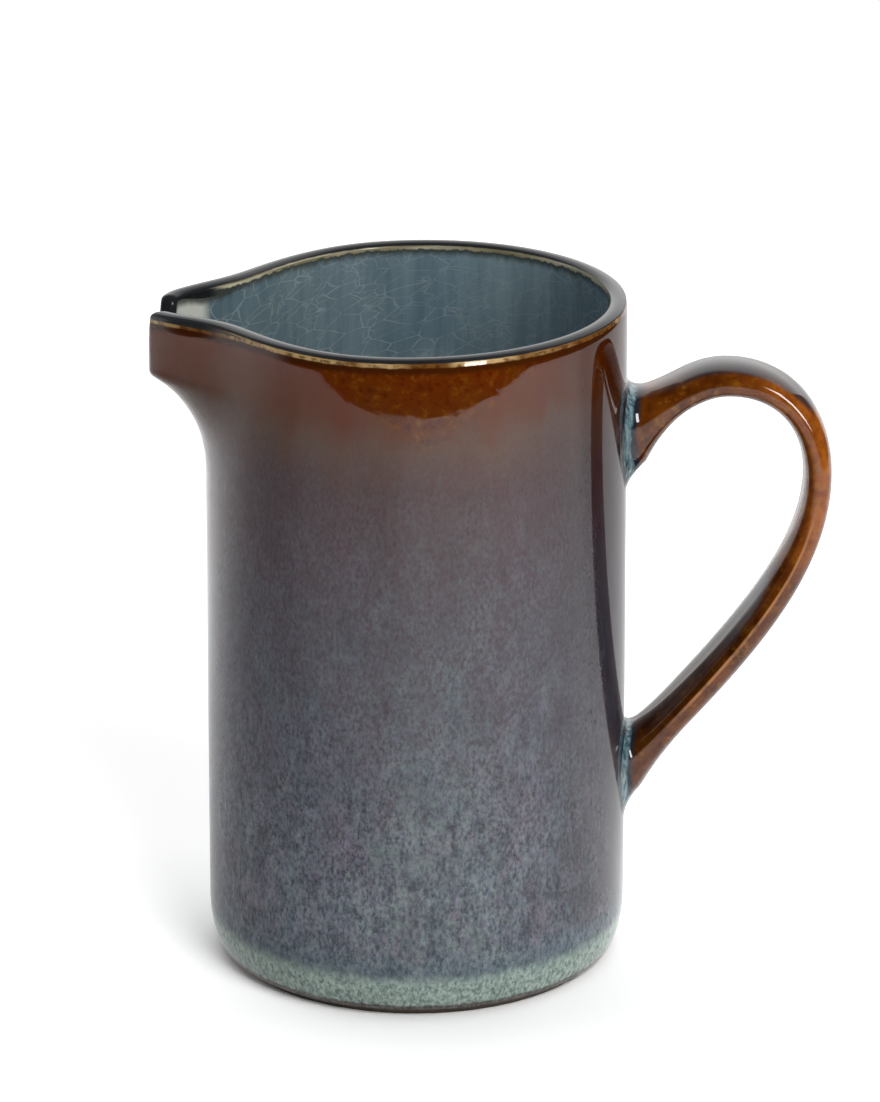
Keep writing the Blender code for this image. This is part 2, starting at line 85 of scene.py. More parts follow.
HANDLE_THICKNESS = 0.0070
BEND_THICKNESS = 0.0052
BEND_LENGTH = 0.0300
HANDLE_WIDTH = 0.0152
SECTION_SQUARENESS = 2.4
UPPER_ROOT_DROP = 0.0335
UPPER_ROOT_RISE = math.radians(30)
UPPER_ROOT_THICKNESS = 0.0180
UPPER_ROOT_WIDTH = 0.0166
UPPER_FLARE_LENGTH = 0.0175
CREST_RISE = 0.0133
CREST_OUT = 0.0248
REACH_OUT = 0.0468
REACH_DROP = 0.0245
LOWER_ROOT_HEIGHT = 0.0457
LOWER_ROOT_RISE = math.radians(48)
LOWER_ROOT_THICKNESS = 0.0120
LOWER_ROOT_WIDTH = 0.0166
LOWER_FLARE_LENGTH = 0.0200
REACH_EASE = 0.36
ROOT_EASE = 0.40
ROUND_EASE = 0.60

JOINT_SPREAD = 0.0050
JOINT_CLIMB = 0.0056
JOINT_FULLNESS = 0.62
KNEE_STEP = JOINT_CLIMB / 8

GLAZE = 0.0005
GLAZE_LINE = 0.0018
FIT_GAP = 0.0003
POOL_SINK = 0.00008
EDGE_ROLL = 0.00018
EDGE_ROLL_DEPTH = 0.0026

# Unevenness of the wall as waves: depth, waves round the jug, turn per metre of height, first turn
RIPPLES = (
    (0.00010, 2, 3, 0.7),
    (0.00005, 3, -5, 2.1),
    (0.000004, 11, 90, 1.3),
    (0.000003, 17, -150, 0.0),
)

# How level the handle runs, from 0 to 1, where it counts as facing up, and the gain of its lower length
LEVEL_RUN = 0.7
STRAP_GAIN = 1.12

MM = 1000
COAT = FIT_GAP + GLAZE
FLOOR_HEIGHT = FOOT_RECESS + BASE_THICKNESS
SPOUT_PEAK = SPOUT_REACH + TIP_OVERSHOOT
TIP_BASE = JUG_HEIGHT - TIP_HEIGHT
THROAT_BASE = TIP_BASE - THROAT_HEIGHT
FLANK_BASE = JUG_HEIGHT - FLANK_DEPTH
UPPER_ROOT_HEIGHT = JUG_HEIGHT - UPPER_ROOT_DROP
ROOT_DEPTH = UPPER_ROOT_THICKNESS
HANDLE_END = RIM_RADIUS + REACH_OUT + BEND_THICKNESS / 2 + COAT

# Mesh fineness. The rows of glaze and clay are those of the foot, the wall and the fan below the rim.
REST_COLUMNS = 84
REST_BIAS = 1.35
NOTCH_STEPS = (5, 9, 8, 12)
GLAZE_ROWS = (14, 26, 44)
CLAY_ROWS = (8, 8, 16)
HOLLOW_ROWS = 4
CROWN_ROWS = 14
CORNER_ROWS = 10
FLOOR_ROWS = 6
SECTION_SIDES = 64
HANDLE_ROWS = (40, 40, 70)
FILLET_ROWS = 16
SPAN_SAMPLES = 300
TRIM_HALVINGS = 40
FAN_BASE = 0.132
FAN_BIAS = 1.5
SHARP_ANGLE = math.radians(35)


def smoothstep(start, end, value):
    """Ease from 0 at start to 1 at end."""
    share = np.clip((value - start) / (end - start), 0.0, 1.0)
    return share * share * (3 - 2 * share)


def smooth_min(a, b, blend):
    """The smaller of two values, rounded over where they are within blend of each other."""
    share = np.clip(0.5 + 0.5 * (b - a) / blend, 0.0, 1.0)
    return b + (a - b) * share - blend * share * (1 - share)


def bell(value):
    """Hump of 1 at zero that is all but gone at 2 on either side."""
    return np.exp(-(value**2))


def bezier(a, b, c, d, t):
    """Point at t, from 0 to 1, on the curve from a to d that b and c draw to themselves."""
    s = 1 - t
    return a * s**3 + 3 * b * s * s * t + 3 * c * s * t * t + d * t**3


def oval(turn, power):
    """Cosine and sine of a turn, each raised to a power with its sign kept."""
    return [np.sign(part) * np.abs(part) ** power for part in (np.cos(turn), np.sin(turn))]


def wall_radius(z):
    """Outside of the plain clay wall, away from the spout and above the foot."""
    share = (z - FOOT_CURVE_HEIGHT) / (JUG_HEIGHT - FOOT_CURVE_HEIGHT)
    return BELLY_RADIUS + (RIM_RADIUS - BELLY_RADIUS) * share


def foot_radius(z):
    """Outside of the clay on the foot curve."""
    lean = np.arccos(1 - np.minimum(z, FOOT_CURVE_HEIGHT) / FOOT_CURVE_HEIGHT)
    return BELLY_RADIUS - FOOT_TUCK * (1 - np.sin(lean))


def throat_push(z, rise, reach):
    """How far the spout stands off the wall at height z."""
    turn = np.minimum(np.maximum((z - THROAT_BASE) / rise, 0.0) * math.sin(THROAT_SWEEP), 1.0)
    arc = reach * (1 - np.sqrt(1 - turn * turn)) / (1 - math.cos(THROAT_SWEEP))
    return np.maximum(smooth_min(arc, reach, THROAT_CORNER), 0.0)


def flank_draw(angle, z):
    """How far the wall is drawn in beside the spout."""
    swing = np.sin(math.pi * np.minimum(np.abs(angle) / FLANK_ANGLE, 1.0)) ** 2
    return FLANK_DRAW * swing * smoothstep(FLANK_BASE, JUG_HEIGHT, z)


def tip_reach(angle):
    """Distance from the axis to the cut at the spout's tip, askew about its near corner."""
    slope = math.tan(TIP_SKEW)
    along = np.cos(angle) + slope * np.sin(angle)
    return (SPOUT_REACH - TIP_PIVOT * slope) / np.maximum(along, TIP_LEAST_COSINE)


def rim_dip(angle):
    """How far the rim lies below the jug's height: a slight tilt to the spout, more at its tip."""
    tilt = RIM_TILT * (1 + np.cos(angle)) / 2
    return tilt + TIP_DIP * bell(angle / TIP_DIP_SPREAD)


def outer_radius(angle, z):
    """Outside of the clay at an angle from the spout."""
    push = throat_push(z, THROAT_HEIGHT, SPOUT_PEAK - RIM_RADIUS) * bell(angle / SPOUT_SPREAD)
    radius = wall_radius(z) + push - flank_draw(angle, z)
    cut = smooth_min(radius, tip_reach(angle), TIP_CORNER)
    upper = np.where(np.cos(angle) * radius < SPOUT_REACH / 2, radius, cut)
    return np.where(z < FOOT_CURVE_HEIGHT, foot_radius(z), upper)


def inner_radius(angle, z):
    """Inside of the clay wall at an angle from the spout."""
    reach = SPOUT_REACH - TIP_WALL - (RIM_RADIUS - WALL)
    push = throat_push(z, THROAT_HEIGHT + WALL / 2, reach) * bell(angle / (SPOUT_SPREAD - CHANNEL_TAPER))
    radius = wall_radius(z) - WALL + push - flank_draw(angle, z)
    return smooth_min(radius, tip_reach(angle) - TIP_WALL, TIP_CORNER)


def ripple(angle, z):
    """Slight unevenness of the thrown and dipped wall."""
    return sum(depth * np.cos(around * angle + rise * z + first) for depth, around, rise, first in RIPPLES)


def notch_curve():
    """Half of the rim's crown across the notch: across, height and lean, from the middle out."""
    depth = TIP_HEIGHT - POUR_LIP
    sine = math.sin(NOTCH_LEAN)
    cosine = math.cos(NOTCH_LEAN)
    straight = (depth - (NOTCH_FLOOR_ROUND + NOTCH_TOP_ROUND) * (1 - cosine)) / sine
    floor_z = JUG_HEIGHT - depth
    middle = NOTCH_WIDTH / 2
    lower_x = middle - straight * cosine / 2
    floor_end = lower_x - NOTCH_FLOOR_ROUND * sine
    points = []
    floor_steps, low_steps, side_steps, top_steps = NOTCH_STEPS
    for k in range(floor_steps):
        points.append((floor_end * k / floor_steps, floor_z, 0.0))
    for k in range(low_steps):
        lean = NOTCH_LEAN * k / low_steps
        across = floor_end + NOTCH_FLOOR_ROUND * math.sin(lean)
        points.append((across, floor_z + NOTCH_FLOOR_ROUND * (1 - math.cos(lean)), lean))
    low_z = floor_z + NOTCH_FLOOR_ROUND * (1 - cosine)
    for k in range(side_steps):
        run = straight * k / side_steps
        points.append((lower_x + run * cosine, low_z + run * sine, NOTCH_LEAN))
    top_x = lower_x + straight * cosine
    for k in range(top_steps + 1):
        lean = NOTCH_LEAN * (1 - k / top_steps)
        across = top_x + NOTCH_TOP_ROUND * (sine - math.sin(lean))
        height = JUG_HEIGHT - NOTCH_TOP_ROUND * (1 - math.cos(lean))
        points.append((across, height, lean))
    return np.array(points)


def all_round(notch, rest, sign):
    """Values of the columns all round the jug, from those of one half; sign is that of the other half."""
    half = np.concatenate([notch, rest])
    return np.concatenate([half, sign * half[-2:0:-1]])


class Rim:
    """Columns round the jug that follow the rim's crown through the pouring notch."""

    def __init__(self):
        across, height, lean = notch_curve().T
        edge = math.atan(across[-1] / SPOUT_REACH)
        share = (np.arange(1, REST_COLUMNS + 1) / REST_COLUMNS) ** REST_BIAS
        rest = edge + (math.pi - edge) * share
        even = edge * np.arange(len(across)) / (len(across) - 1)
        self.angle = all_round(np.arctan(across / SPOUT_REACH), rest, -1)
        self.height = all_round(height, np.full(REST_COLUMNS, JUG_HEIGHT), 1) - rim_dip(self.angle)
        self.lean = all_round(lean, np.zeros(REST_COLUMNS), -1)
        self.base = all_round(even, rest, -1)
        self.count = len(self.angle)
        self.edge_angle, self.edge_height = self.below(LIP_HEIGHT)

    def below(self, drop):
        """Angle and height at a drop from the crown, square to its line."""
        shift = drop * np.sin(self.lean)
        tangent = np.tan(np.clip(self.angle, -NOTCH_ZONE, NOTCH_ZONE)) + shift / SPOUT_REACH
        angle = np.where(np.abs(self.angle) < NOTCH_ZONE, np.arctan(tangent), self.angle)
        return angle, self.height - drop * np.cos(self.lean)

    def fan(self, share):
        """Angle and height of one row, from the level base of the fan to the crown's edge."""
        angle = self.base + (self.edge_angle - self.base) * share
        return angle, FAN_BASE + (self.edge_height - FAN_BASE) * share


def axis_place():
    """Where the jug's axis stands along X, for the middle of the part to lie over the origin."""
    angle, z = Rim().fan(np.linspace(0.0, 1.0, GLAZE_ROWS[-1] + 1)[:, None])
    spout_end = np.max((outer_radius(angle, z) + COAT) * np.cos(angle))
    return float((spout_end - HANDLE_END) / 2)


AXIS_X = axis_place()


def place(angle, radius, z):
    """Points at angles from the spout."""
    angle, radius, z = np.broadcast_arrays(angle, radius, z)
    return np.stack([AXIS_X - radius * np.cos(angle), radius * np.sin(angle), z], axis=-1)


def points_of(rows):
    """Points of rows of angles, radii and heights."""
    return [place(*row) for row in rows]


def fan_share(k, rows):
    """Share of the way up the fan at row k, closer together at the crown's edge."""
    return 1 - (1 - k / rows) ** FAN_BIAS


def outside_rows(rim, start, coat, counts):
    """Rows of the outside, from a height on the foot up to the crown's edge, coat off the clay."""
    foot_rows, wall_rows, top_rows = counts
    first = math.acos(1 - start / FOOT_CURVE_HEIGHT)
    turns = first + (math.pi / 2 - first) * np.arange(foot_rows + 1) / foot_rows
    heights = list(FOOT_CURVE_HEIGHT * (1 - np.cos(turns)))
    step = (FAN_BASE - FOOT_CURVE_HEIGHT) / wall_rows
    heights += [FOOT_CURVE_HEIGHT + step * k for k in range(1, wall_rows)]
    lines = [(rim.base, z) for z in heights]
    lines += [rim.fan(fan_share(k, top_rows)) for k in range(top_rows + 1)]
    return [(angle, outer_radius(angle, z) + coat, z) for angle, z in lines]


def inside_rows(rim, coat, counts):
    """Rows of the inside, from the crown's edge down to the floor, coat off the clay."""
    _, wall_rows, top_rows = counts
    centre_z = FLOOR_HEIGHT + INNER_CORNER
    step = (FAN_BASE - centre_z) / wall_rows
    lines = [rim.fan(fan_share(k, top_rows)) for k in range(top_rows, -1, -1)]
    lines += [(rim.base, FAN_BASE - step * k) for k in range(1, wall_rows)]
    rows = [(angle, inner_radius(angle, z) - coat, z) for angle, z in lines]
    centre_r = wall_radius(centre_z) - WALL - INNER_CORNER
    size = INNER_CORNER - coat
    for k in range(CORNER_ROWS + 1):
        turn = math.pi / 2 * k / CORNER_ROWS
        rows.append((rim.base, centre_r + size * math.cos(turn), centre_z - size * math.sin(turn)))
    for k in range(1, FLOOR_ROWS):
        rows.append((rim.base, centre_r * (1 - k / FLOOR_ROWS), FLOOR_HEIGHT + coat))
    return rows


def crown_rows(rim):
    """Rows of the rim's rounded crown, from its outer edge over to its inner one."""
    rows = []
    for k in range(CROWN_ROWS + 1):
        turn = math.pi * k / CROWN_ROWS
        angle, z = rim.below(LIP_HEIGHT * (1 - math.sin(turn)))
        outer = outer_radius(angle, z) + COAT + ripple(angle, z) - EDGE_ROLL
        inner = inner_radius(angle, z) - COAT
        radius = (outer + inner) / 2 + (outer - inner) / 2 * math.cos(turn)
        rows.append((angle, radius, z))
    return rows


def new_object(name, data):
    """An object in the scene."""
    obj = bpy.data.objects.new(name, data)
    bpy.context.scene.collection.objects.link(obj)
    return obj


def keep_values(mesh, name, values):
    """Keep a value on each of the mesh's points, and 0 on any points left over at the end."""
    padded = np.zeros(len(mesh.vertices), np.float32)
    padded[: len(values)] = values
    mesh.attributes.new(name, "FLOAT", "POINT").data.foreach_set("value", padded)


def skin(name, rings, material, layers, poles=()):
    """Closed object from rings of points: closed at two poles, or wrapped round on itself without any."""
    count = len(rings[0])
    verts = [*np.concatenate(rings).tolist(), *poles]
    faces = []
    last = len(rings) - 1
    ring_pairs = [(k, k + 1) for k in range(last)]
    if not poles:
        ring_pairs.append((last, 0))
    for low, high in ring_pairs:
        for i in range(count):
            j = (i + 1) % count
            faces.append((low * count + i, low * count + j, high * count + j, high * count + i))
    if poles:
        first = len(rings) * count
        for i in range(count):
            j = (i + 1) % count
            faces.append((j, i, first))
            faces.append((last * count + i, last * count + j, first + 1))
    mesh = bpy.data.meshes.new(name)
    mesh.from_pydata(verts, [], faces)
    for label, values in layers.items():
        keep_values(mesh, label, values)
    work = bmesh.new()
    work.from_mesh(mesh)
    bmesh.ops.recalc_face_normals(work, faces=work.faces)
    work.to_mesh(mesh)
    work.free()
    mesh.shade_smooth()
    mesh.set_sharp_from_angle(angle=SHARP_ANGLE)
    mesh.materials.append(material)
    return new_object(name, mesh)


class HandlePath:
    """Centre line of the handle in the XZ plane, from inside the wall to inside the wall."""

    def __init__(self):
        upper = np.array((wall_radius(UPPER_ROOT_HEIGHT), UPPER_ROOT_HEIGHT))
        lower = np.array((wall_radius(LOWER_ROOT_HEIGHT), LOWER_ROOT_HEIGHT))
        rise = np.array((math.cos(UPPER_ROOT_RISE), math.sin(UPPER_ROOT_RISE)))
        fall = np.array((math.cos(LOWER_ROOT_RISE), math.sin(LOWER_ROOT_RISE)))
        crest = np.array((RIM_RADIUS + CREST_OUT, UPPER_ROOT_HEIGHT + CREST_RISE))
        reach = np.array((RIM_RADIUS + REACH_OUT, crest[1] - REACH_DROP))
        out = (crest[0] - upper[0]) * ROOT_EASE
        round_out = np.array(((reach[0] - crest[0]) * ROUND_EASE, 0.0))
        round_down = np.array((0.0, (crest[1] - reach[1]) * ROUND_EASE))
        length = reach[1] - lower[1]
        down = np.array((0.0, -length * REACH_EASE))
        back = fall * length * ROOT_EASE
        level = np.array((out, 0.0))
        spans = (
            (upper - rise * ROOT_DEPTH, upper + rise * out, crest - level, crest),
            (crest, crest + round_out, reach + round_down, reach),
            (reach, reach + down, lower + back, lower - fall * ROOT_DEPTH),
        )
        points = []
        slopes = []
        for k, (a, b, c, d) in enumerate(spans):
            t = np.linspace(0.0, 1.0, SPAN_SAMPLES + 1)[(1 if k else 0):, None]
            s = 1 - t
            points.append(bezier(a, b, c, d, t))
            slopes.append(3 * ((b - a) * s * s + 2 * (c - b) * s * t + (d - c) * t * t))
        self.points = np.concatenate(points)
        slope = np.concatenate(slopes)
        self.ahead = slope / np.linalg.norm(slope, axis=1, keepdims=True)
        steps = np.linalg.norm(np.diff(self.points, axis=0), axis=1)
        self.lengths = np.concatenate([[0.0], np.cumsum(steps)])
        self.crest = self.lengths[SPAN_SAMPLES]
        self.reach = self.lengths[2 * SPAN_SAMPLES]
        clear = self.points[:, 0] > wall_radius(self.points[:, 1])
        self.upper = self.lengths[np.argmax(clear)]
        self.lower = self.lengths[len(clear) - 1 - np.argmax(clear[::-1])]
        self.turns = 2 * math.pi * np.arange(SECTION_SIDES) / SECTION_SIDES

    def at(self, length):
        """Point and direction at a length along the path."""
        columns = (*self.points.T, *self.ahead.T)
        return [np.interp(length, self.lengths, column) for column in columns]

    def half_sizes(self, length):
        """Half thickness and half width of the bare handle at a length along the path."""
        upper = np.clip(1 - (length - self.upper) / UPPER_FLARE_LENGTH, 0.0, 1.0) ** 2
        lower = np.clip(1 - (self.lower - length) / LOWER_FLARE_LENGTH, 0.0, 1.0) ** 2
        bend = bell((length - self.reach) / BEND_LENGTH)
        thickness = HANDLE_THICKNESS + (BEND_THICKNESS - HANDLE_THICKNESS) * bend
        thickness = thickness + (UPPER_ROOT_THICKNESS - HANDLE_THICKNESS) * upper
        thickness = thickness + (LOWER_ROOT_THICKNESS - HANDLE_THICKNESS) * lower
        width = HANDLE_WIDTH + (UPPER_ROOT_WIDTH - HANDLE_WIDTH) * upper
        width = width + (LOWER_ROOT_WIDTH - HANDLE_WIDTH) * lower
        return thickness / 2, width / 2

    def surface(self, length, coat):
        """Points round the handle's oval section, coat off the clay, from the jug's axis."""
        x, z, along_x, along_z = self.at(length)
        half_thickness, half_width = self.half_sizes(length)
        up, side = oval(self.turns, 2 / SECTION_SQUARENESS)
        up = up * (half_thickness + coat)
        side = side * (half_width + coat)
        return np.stack([x - along_z * up, side, z + along_x * up], axis=-1)

    def outward(self, length):
        """How far the section's surface faces out of the loop, from -1 to 1."""
        half_thickness, half_width = self.half_sizes(length)
        up, side = oval(self.turns, 2 - 2 / SECTION_SQUARENESS)
        up = up / half_thickness
        return up / np.hypot(up, side / half_width)

    def skyward(self, length):
        """How far the section's surface faces up: out of the arch, or into the loop below it."""
        along_x = self.at(length)[2]
        arch = smoothstep(0.0, LEVEL_RUN, along_x)
        strap = smoothstep(0.0, LEVEL_RUN, -along_x)
        return self.outward(length) * (arch - STRAP_GAIN * strap)

    def trim(self, coat, upper):
        """Length at which each line along the handle meets the wall, both of them coat off the clay."""
        inside = np.full(SECTION_SIDES, 0.0 if upper else self.lengths[-1])
        outside = np.full(SECTION_SIDES, self.crest if upper else self.reach)
        for _ in range(TRIM_HALVINGS):
            middle = (inside + outside) / 2
            point = self.surface(middle, coat)
            sunk = np.hypot(point[:, 0], point[:, 1]) < wall_radius(point[:, 2]) + coat
            inside = np.where(sunk, middle, inside)
            outside = np.where(sunk, outside, middle)
        return outside

    def pool_end(self, upper):
        """Length at which the pooled glaze of a root ends on each line along the handle."""
        return self.trim(COAT, upper) + (JOINT_CLIMB if upper else -JOINT_CLIMB)

    def stations(self):
        """Lengths along the free handle, with one at the crest and one at the reach."""
        stops = (self.upper, self.crest, self.reach, self.lower)
        lengths = [self.upper]
        for start, end, count in zip(stops, stops[1:], HANDLE_ROWS):
            lengths += [start + (end - start) * k / count for k in range(1, count + 1)]
        return lengths

    def shifted(self, length, start, end):
        """Lengths of one row of points, with the row's ends moved to start and end."""
        near_upper = max(1 - (length - self.upper) / (self.crest - self.upper), 0.0)
        near_lower = max((length - self.reach) / (self.lower - self.reach), 0.0)
        return length + (start - self.upper) * near_upper + (end - self.lower) * near_lower


def to_frame(rings):
    """Rings of points from the jug's axis, in the frame of the part."""
    return [points + np.array((AXIS_X, 0.0, 0.0)) for points in rings]


def joint_outline(path, upper):
    """Outline on the wall round a handle root, spread out from the handle, as y and z."""
    roots = path.surface(path.trim(FIT_GAP, upper), FIT_GAP)[:, 1:]
    along = np.roll(roots, -1, axis=0) - np.roll(roots, 1, axis=0)
    along /= np.linalg.norm(along, axis=1, keepdims=True)
    spread = JOINT_SPREAD if upper else -JOINT_SPREAD
    return roots + spread * np.stack([-along[:, 1], along[:, 0]], axis=-1)


def on_wall(outline, clearance):
    """Points of an outline over the wall on the handle's side, from the jug's axis."""
    y, z = outline.T
    angle = math.pi - np.arcsin(np.clip(y / wall_radius(z), -1, 1))
    radius = wall_radius(z) + clearance + ripple(angle, z)
    return np.stack([np.sqrt(radius * radius - y * y), y, z], axis=-1)


def opaque(colour):
    """Three parts of a colour with the fourth that a node asks for; a value stays as it is."""
    return (*colour, 1.0) if isinstance(colour, tuple) else colour


class Value:
    """A number, place or colour that nodes work out. Sums and products of values are values too."""

    def __init__(self, nodes, socket):
        self.nodes = nodes
        self.socket = socket

    def math(self, operation, *terms):
        """Arithmetic on values and numbers."""
        return self.nodes.add("Math", dict(enumerate(terms)), operation=operation)

    def __add__(self, other):
        return self.math("ADD", self, other)

    def __sub__(self, other):
        return self.math("SUBTRACT", self, other)

    def __rsub__(self, other):
        return self.math("SUBTRACT", other, self)

    def __mul__(self, other):
        return self.math("MULTIPLY", self, other)

    def __truediv__(self, other):
        return self.math("DIVIDE", self, other)

    def __abs__(self):
        return self.math("ABSOLUTE", self)

    def larger(self, other):
        """The larger of two values."""
        return self.math("MAXIMUM", self, other)

    def centred(self, span):
        """A value from 0 to 1 made to swing over a span about zero."""
        return self.math("MULTIPLY_ADD", self, span, -span / 2)

    def ease(self, start, end, low=0.0, high=1.0):
        """Ease from low at start to high at end."""
        inputs = {"Value": self, "From Min": start, "From Max": end, "To Min": low, "To Max": high}
        return self.nodes.add("MapRange", inputs, interpolation_type="SMOOTHSTEP")

    def scaled(self, *sizes):
        """A place times a size along each axis."""
        return self.nodes.add("VectorMath", {0: self, 1: sizes}, operation="MULTIPLY")

    def squeezed(self, height):
        """A place with its height made less, so that noise there is drawn out up and down."""
        return self.scaled(1.0, 1.0, height)

    def shifted(self, step):
        """A place moved by a step."""
        return self.nodes.add("VectorMath", {0: self, 1: step}, operation="ADD")

    def noise(self, size, detail=2.0, roughness=0.5, shift=None, output="Fac"):
        """Soft noise from 0 to 1 at a place, with features of about the given size."""
        spot = self.shifted(shift) if shift else self
        inputs = {"Vector": spot, "Scale": 1.0 / size, "Detail": detail, "Roughness": roughness}
        return self.nodes.add("TexNoise", inputs, output)

    def warped(self, size, amount):
        """A place shifted by coloured noise."""
        drift = self.noise(size, output="Color").shifted((-0.5, -0.5, -0.5))
        return self.shifted(drift.scaled(amount, amount, amount))

    def from_edge(self, size):
        """Distance of a place from the nearest edge in a net of cells of about the given size."""
        inputs = {"Vector": self, "Scale": 1.0 / size}
        return self.nodes.add("TexVoronoi", inputs, feature="DISTANCE_TO_EDGE")

    def ramp(self, stops):
        """Colour along a row of (place, colour) stops."""
        result = self.nodes.add("ValToRGB", {"Fac": self})
        elements = result.socket.node.color_ramp.elements
        while len(elements) < len(stops):
            elements.new(0.5)
        for element, (position, _) in zip(elements, stops):
            element.position = position
        for element, (_, colour) in zip(elements, stops):
            element.color = opaque(colour)
        return result

    def blend(self, a, b, kind):
        """Two colours blended by this share."""
        inputs = {0: self, 6: opaque(a), 7: opaque(b)}
        return self.nodes.add("Mix", inputs, 2, data_type="RGBA", blend_type=kind)

    def mix(self, a, b):
        """Colour from a to b by this share."""
        return self.blend(a, b, "MIX")

    def tint(self, colour, factor):
        """Colour times a factor by this share."""
        return self.blend(colour, factor, "MULTIPLY")


class Nodes:
    """Nodes of a material or of the world, under construction."""

    def __init__(self, owner):
        owner.use_nodes = True
        self.owner = owner
        self.tree = owner.node_tree

    def feed(self, socket, value):
        """Link a socket to a value, or set it to a plain number."""
        if isinstance(value, Value):
            self.tree.links.new(value.socket, socket)
        else:
            socket.default_value = value

    def add(self, kind, inputs, output=0, **settings):
        """What a new node gives at one of its outputs, with its settings made and its inputs fed."""
        node = self.tree.nodes.new("ShaderNode" + kind)
        for key, value in settings.items():
            setattr(node, key, value)
        for key, value in inputs.items():
            self.feed(node.inputs[key], value)
        return Value(self, node.outputs[output])


class Shade(Nodes):
    """One procedural material under construction. Lengths in its nodes are millimetres."""

    def __init__(self, name, roughness, ior):
        super().__init__(bpy.data.materials.new(name))
        self.put("Roughness", roughness)
        self.put("IOR", ior)
        self.place = self.add("TexCoord", {}, "Object").scaled(MM, MM, MM)
        axes = self.add("SeparateXYZ", {0: self.place}).socket.node.outputs
        self.x, self.y, self.z = (Value(self, socket) for socket in axes)

    def put(self, name, value):
        """Give the material one of its properties."""
        self.feed(self.tree.nodes["Principled BSDF"].inputs[name], value)

    def from_axis(self):
        """Distance from the jug's axis towards the spout."""
        return AXIS_X * MM - self.x

    def layer(self, name):
        """A value kept on the mesh's points."""
        return self.add("Attribute", {}, "Fac", attribute_name=name)

    def bump(self, height, depth):
        """Fine relief, depth in millimetres."""
        inputs = {"Height": height, "Strength": 1.0, "Distance": depth / MM}
        self.put("Normal", self.add("Bump", inputs))

    def done(self, colour):
        """The finished material."""
        self.put("Base Color", colour)
        return self.owner


# Glazes and clay, with lengths in millimetres. A band is where a change starts and where it ends.
HEIGHT_MM = JUG_HEIGHT * MM
GREEN_X = -12.5
PATCH_X = -15.5
PATCH_TOP = 161.0
PATCH_SLOPE = 1.4
TEAL_BAND = (18.5, 12.5)
CELADON_BAND = (12.4, 9.0)
THIN_BAND = (3.6, 2.8)
CROWN_BAND = (140.0, 145.0)
HIGHLIGHT_OUTWARD = -0.12
STREAK_SQUEEZE = 0.1
TALL_SQUEEZE = 0.5
UPRIGHT_SQUEEZE = 0.62
LINING_SQUEEZE = 0.12
DRIP_SQUEEZE = 0.25
CRACK_TURN = math.radians(16)
CRACK_STRETCH = (0.42, 0.5, 1.0)
CRACK_SHIFT = (40.0, 11.0, 5.0)
CRACK_WARP = (9.0, 2.6)
LONG_CRACKS = 3.4
SHORT_CRACKS = 1.7
CRACK_SHARE = 0.38
WALL_GLOSS = 0.012
WALL_BUMP = 0.0022
TEETH_SHARE = 1.6
SHIVER_SHARE = 0.4
LINING_GLOSS = 0.06
LINING_RAGGED = 1.6
PINCHED_EDGE = 1.4
PINCHED_TIP = 1.5
HANDLE_GLOSS = 0.035
HANDLE_BUMP = 0.004
BLOT_WARP = (6.0, 3.0)
GLAZE_IOR = 1.45
CLAY_IOR = 1.28
CLAY_ROUGHNESS = 0.62
CLAY_BUMP = 0.01
CROWN_ROUGHNESS = 0.16
HANDLE_CLAY_IOR = 1.5
HANDLE_CLAY_ROUGHNESS = 0.6
HANDLE_CLAY_BUMP = 0.03

# Noises: size of a feature, detail, roughness, and a shift that keeps one apart from another
DRIFT_NOISE = (5.0, 3.0, 0.6)
SWAY_NOISE = (15.0, 2.0)
BLOTCH_NOISE = (5.0, 3.0, 0.6, (31.0, 7.0, 3.0))
COOL_NOISE = (8.0, 3.0, 0.6, (4.0, 50.0, 9.0))
GRAIN_NOISE = (0.85, 4.0, 0.72)
HUE_NOISE = (1.5, 3.0, 0.65, (17.0, 40.0, 5.0))
CLUSTER_NOISE = (6.0, 3.0, 0.6, (9.0, 3.0, 70.0))
CLUMP_NOISE = (2.6, 3.0, 0.6, (5.0, 21.0, 33.0))
PATCH_NOISE = (9.0, 3.0, 0.55, (60.0, 13.0, 2.0))
AMBER_NOISE = (2.0, 4.0, 0.65, (2.0, 9.0, 44.0))
FOOT_NOISE = (2.4, 3.0, 0.7)
RIM_NOISE = (14.0, 2.0, 0.5)
RIM_EDGE_NOISE = (2.5, 2.0)
RIM_BREAK_NOISE = (1.8, 3.0, 0.5, (3.0, 8.0, 1.0))
WAVE_NOISE = (7.0, 1.0)
TEETH_NOISE = (3.0, 1.0, 0.5, (7.0, 2.0, 5.0))
SHIVER_NOISE = (1.3, 1.0)
CLAY_NOISE = (0.8, 3.0, 0.7)
CROWN_NOISE = (2.0, 2.0)
CRACK_GATE_NOISE = (9.0, 1.0)
CRACK_FAINT_NOISE = (5.0, 2.0)
LINING_RUN_NOISE = (3.0, 3.0, 0.6)
LINING_CLOUD_NOISE = (22.0, 2.0)
LINING_EDGE_NOISE = (1.5, 3.0, 0.6)
BLOT_NOISE = (5.0, 3.0, 0.6)
SPOT_NOISE = (1.2, 3.0, 0.6)
GOLD_NOISE = (2.4, 3.0, 0.6, (11.0, 5.0, 29.0))
POOL_NOISE = (0.9, 3.0, 0.65)
WISP_NOISE = (2.4, 2.0, 0.5, (20.0, 3.0, 8.0))
HANDLE_NOISE = (3.0, 2.0)
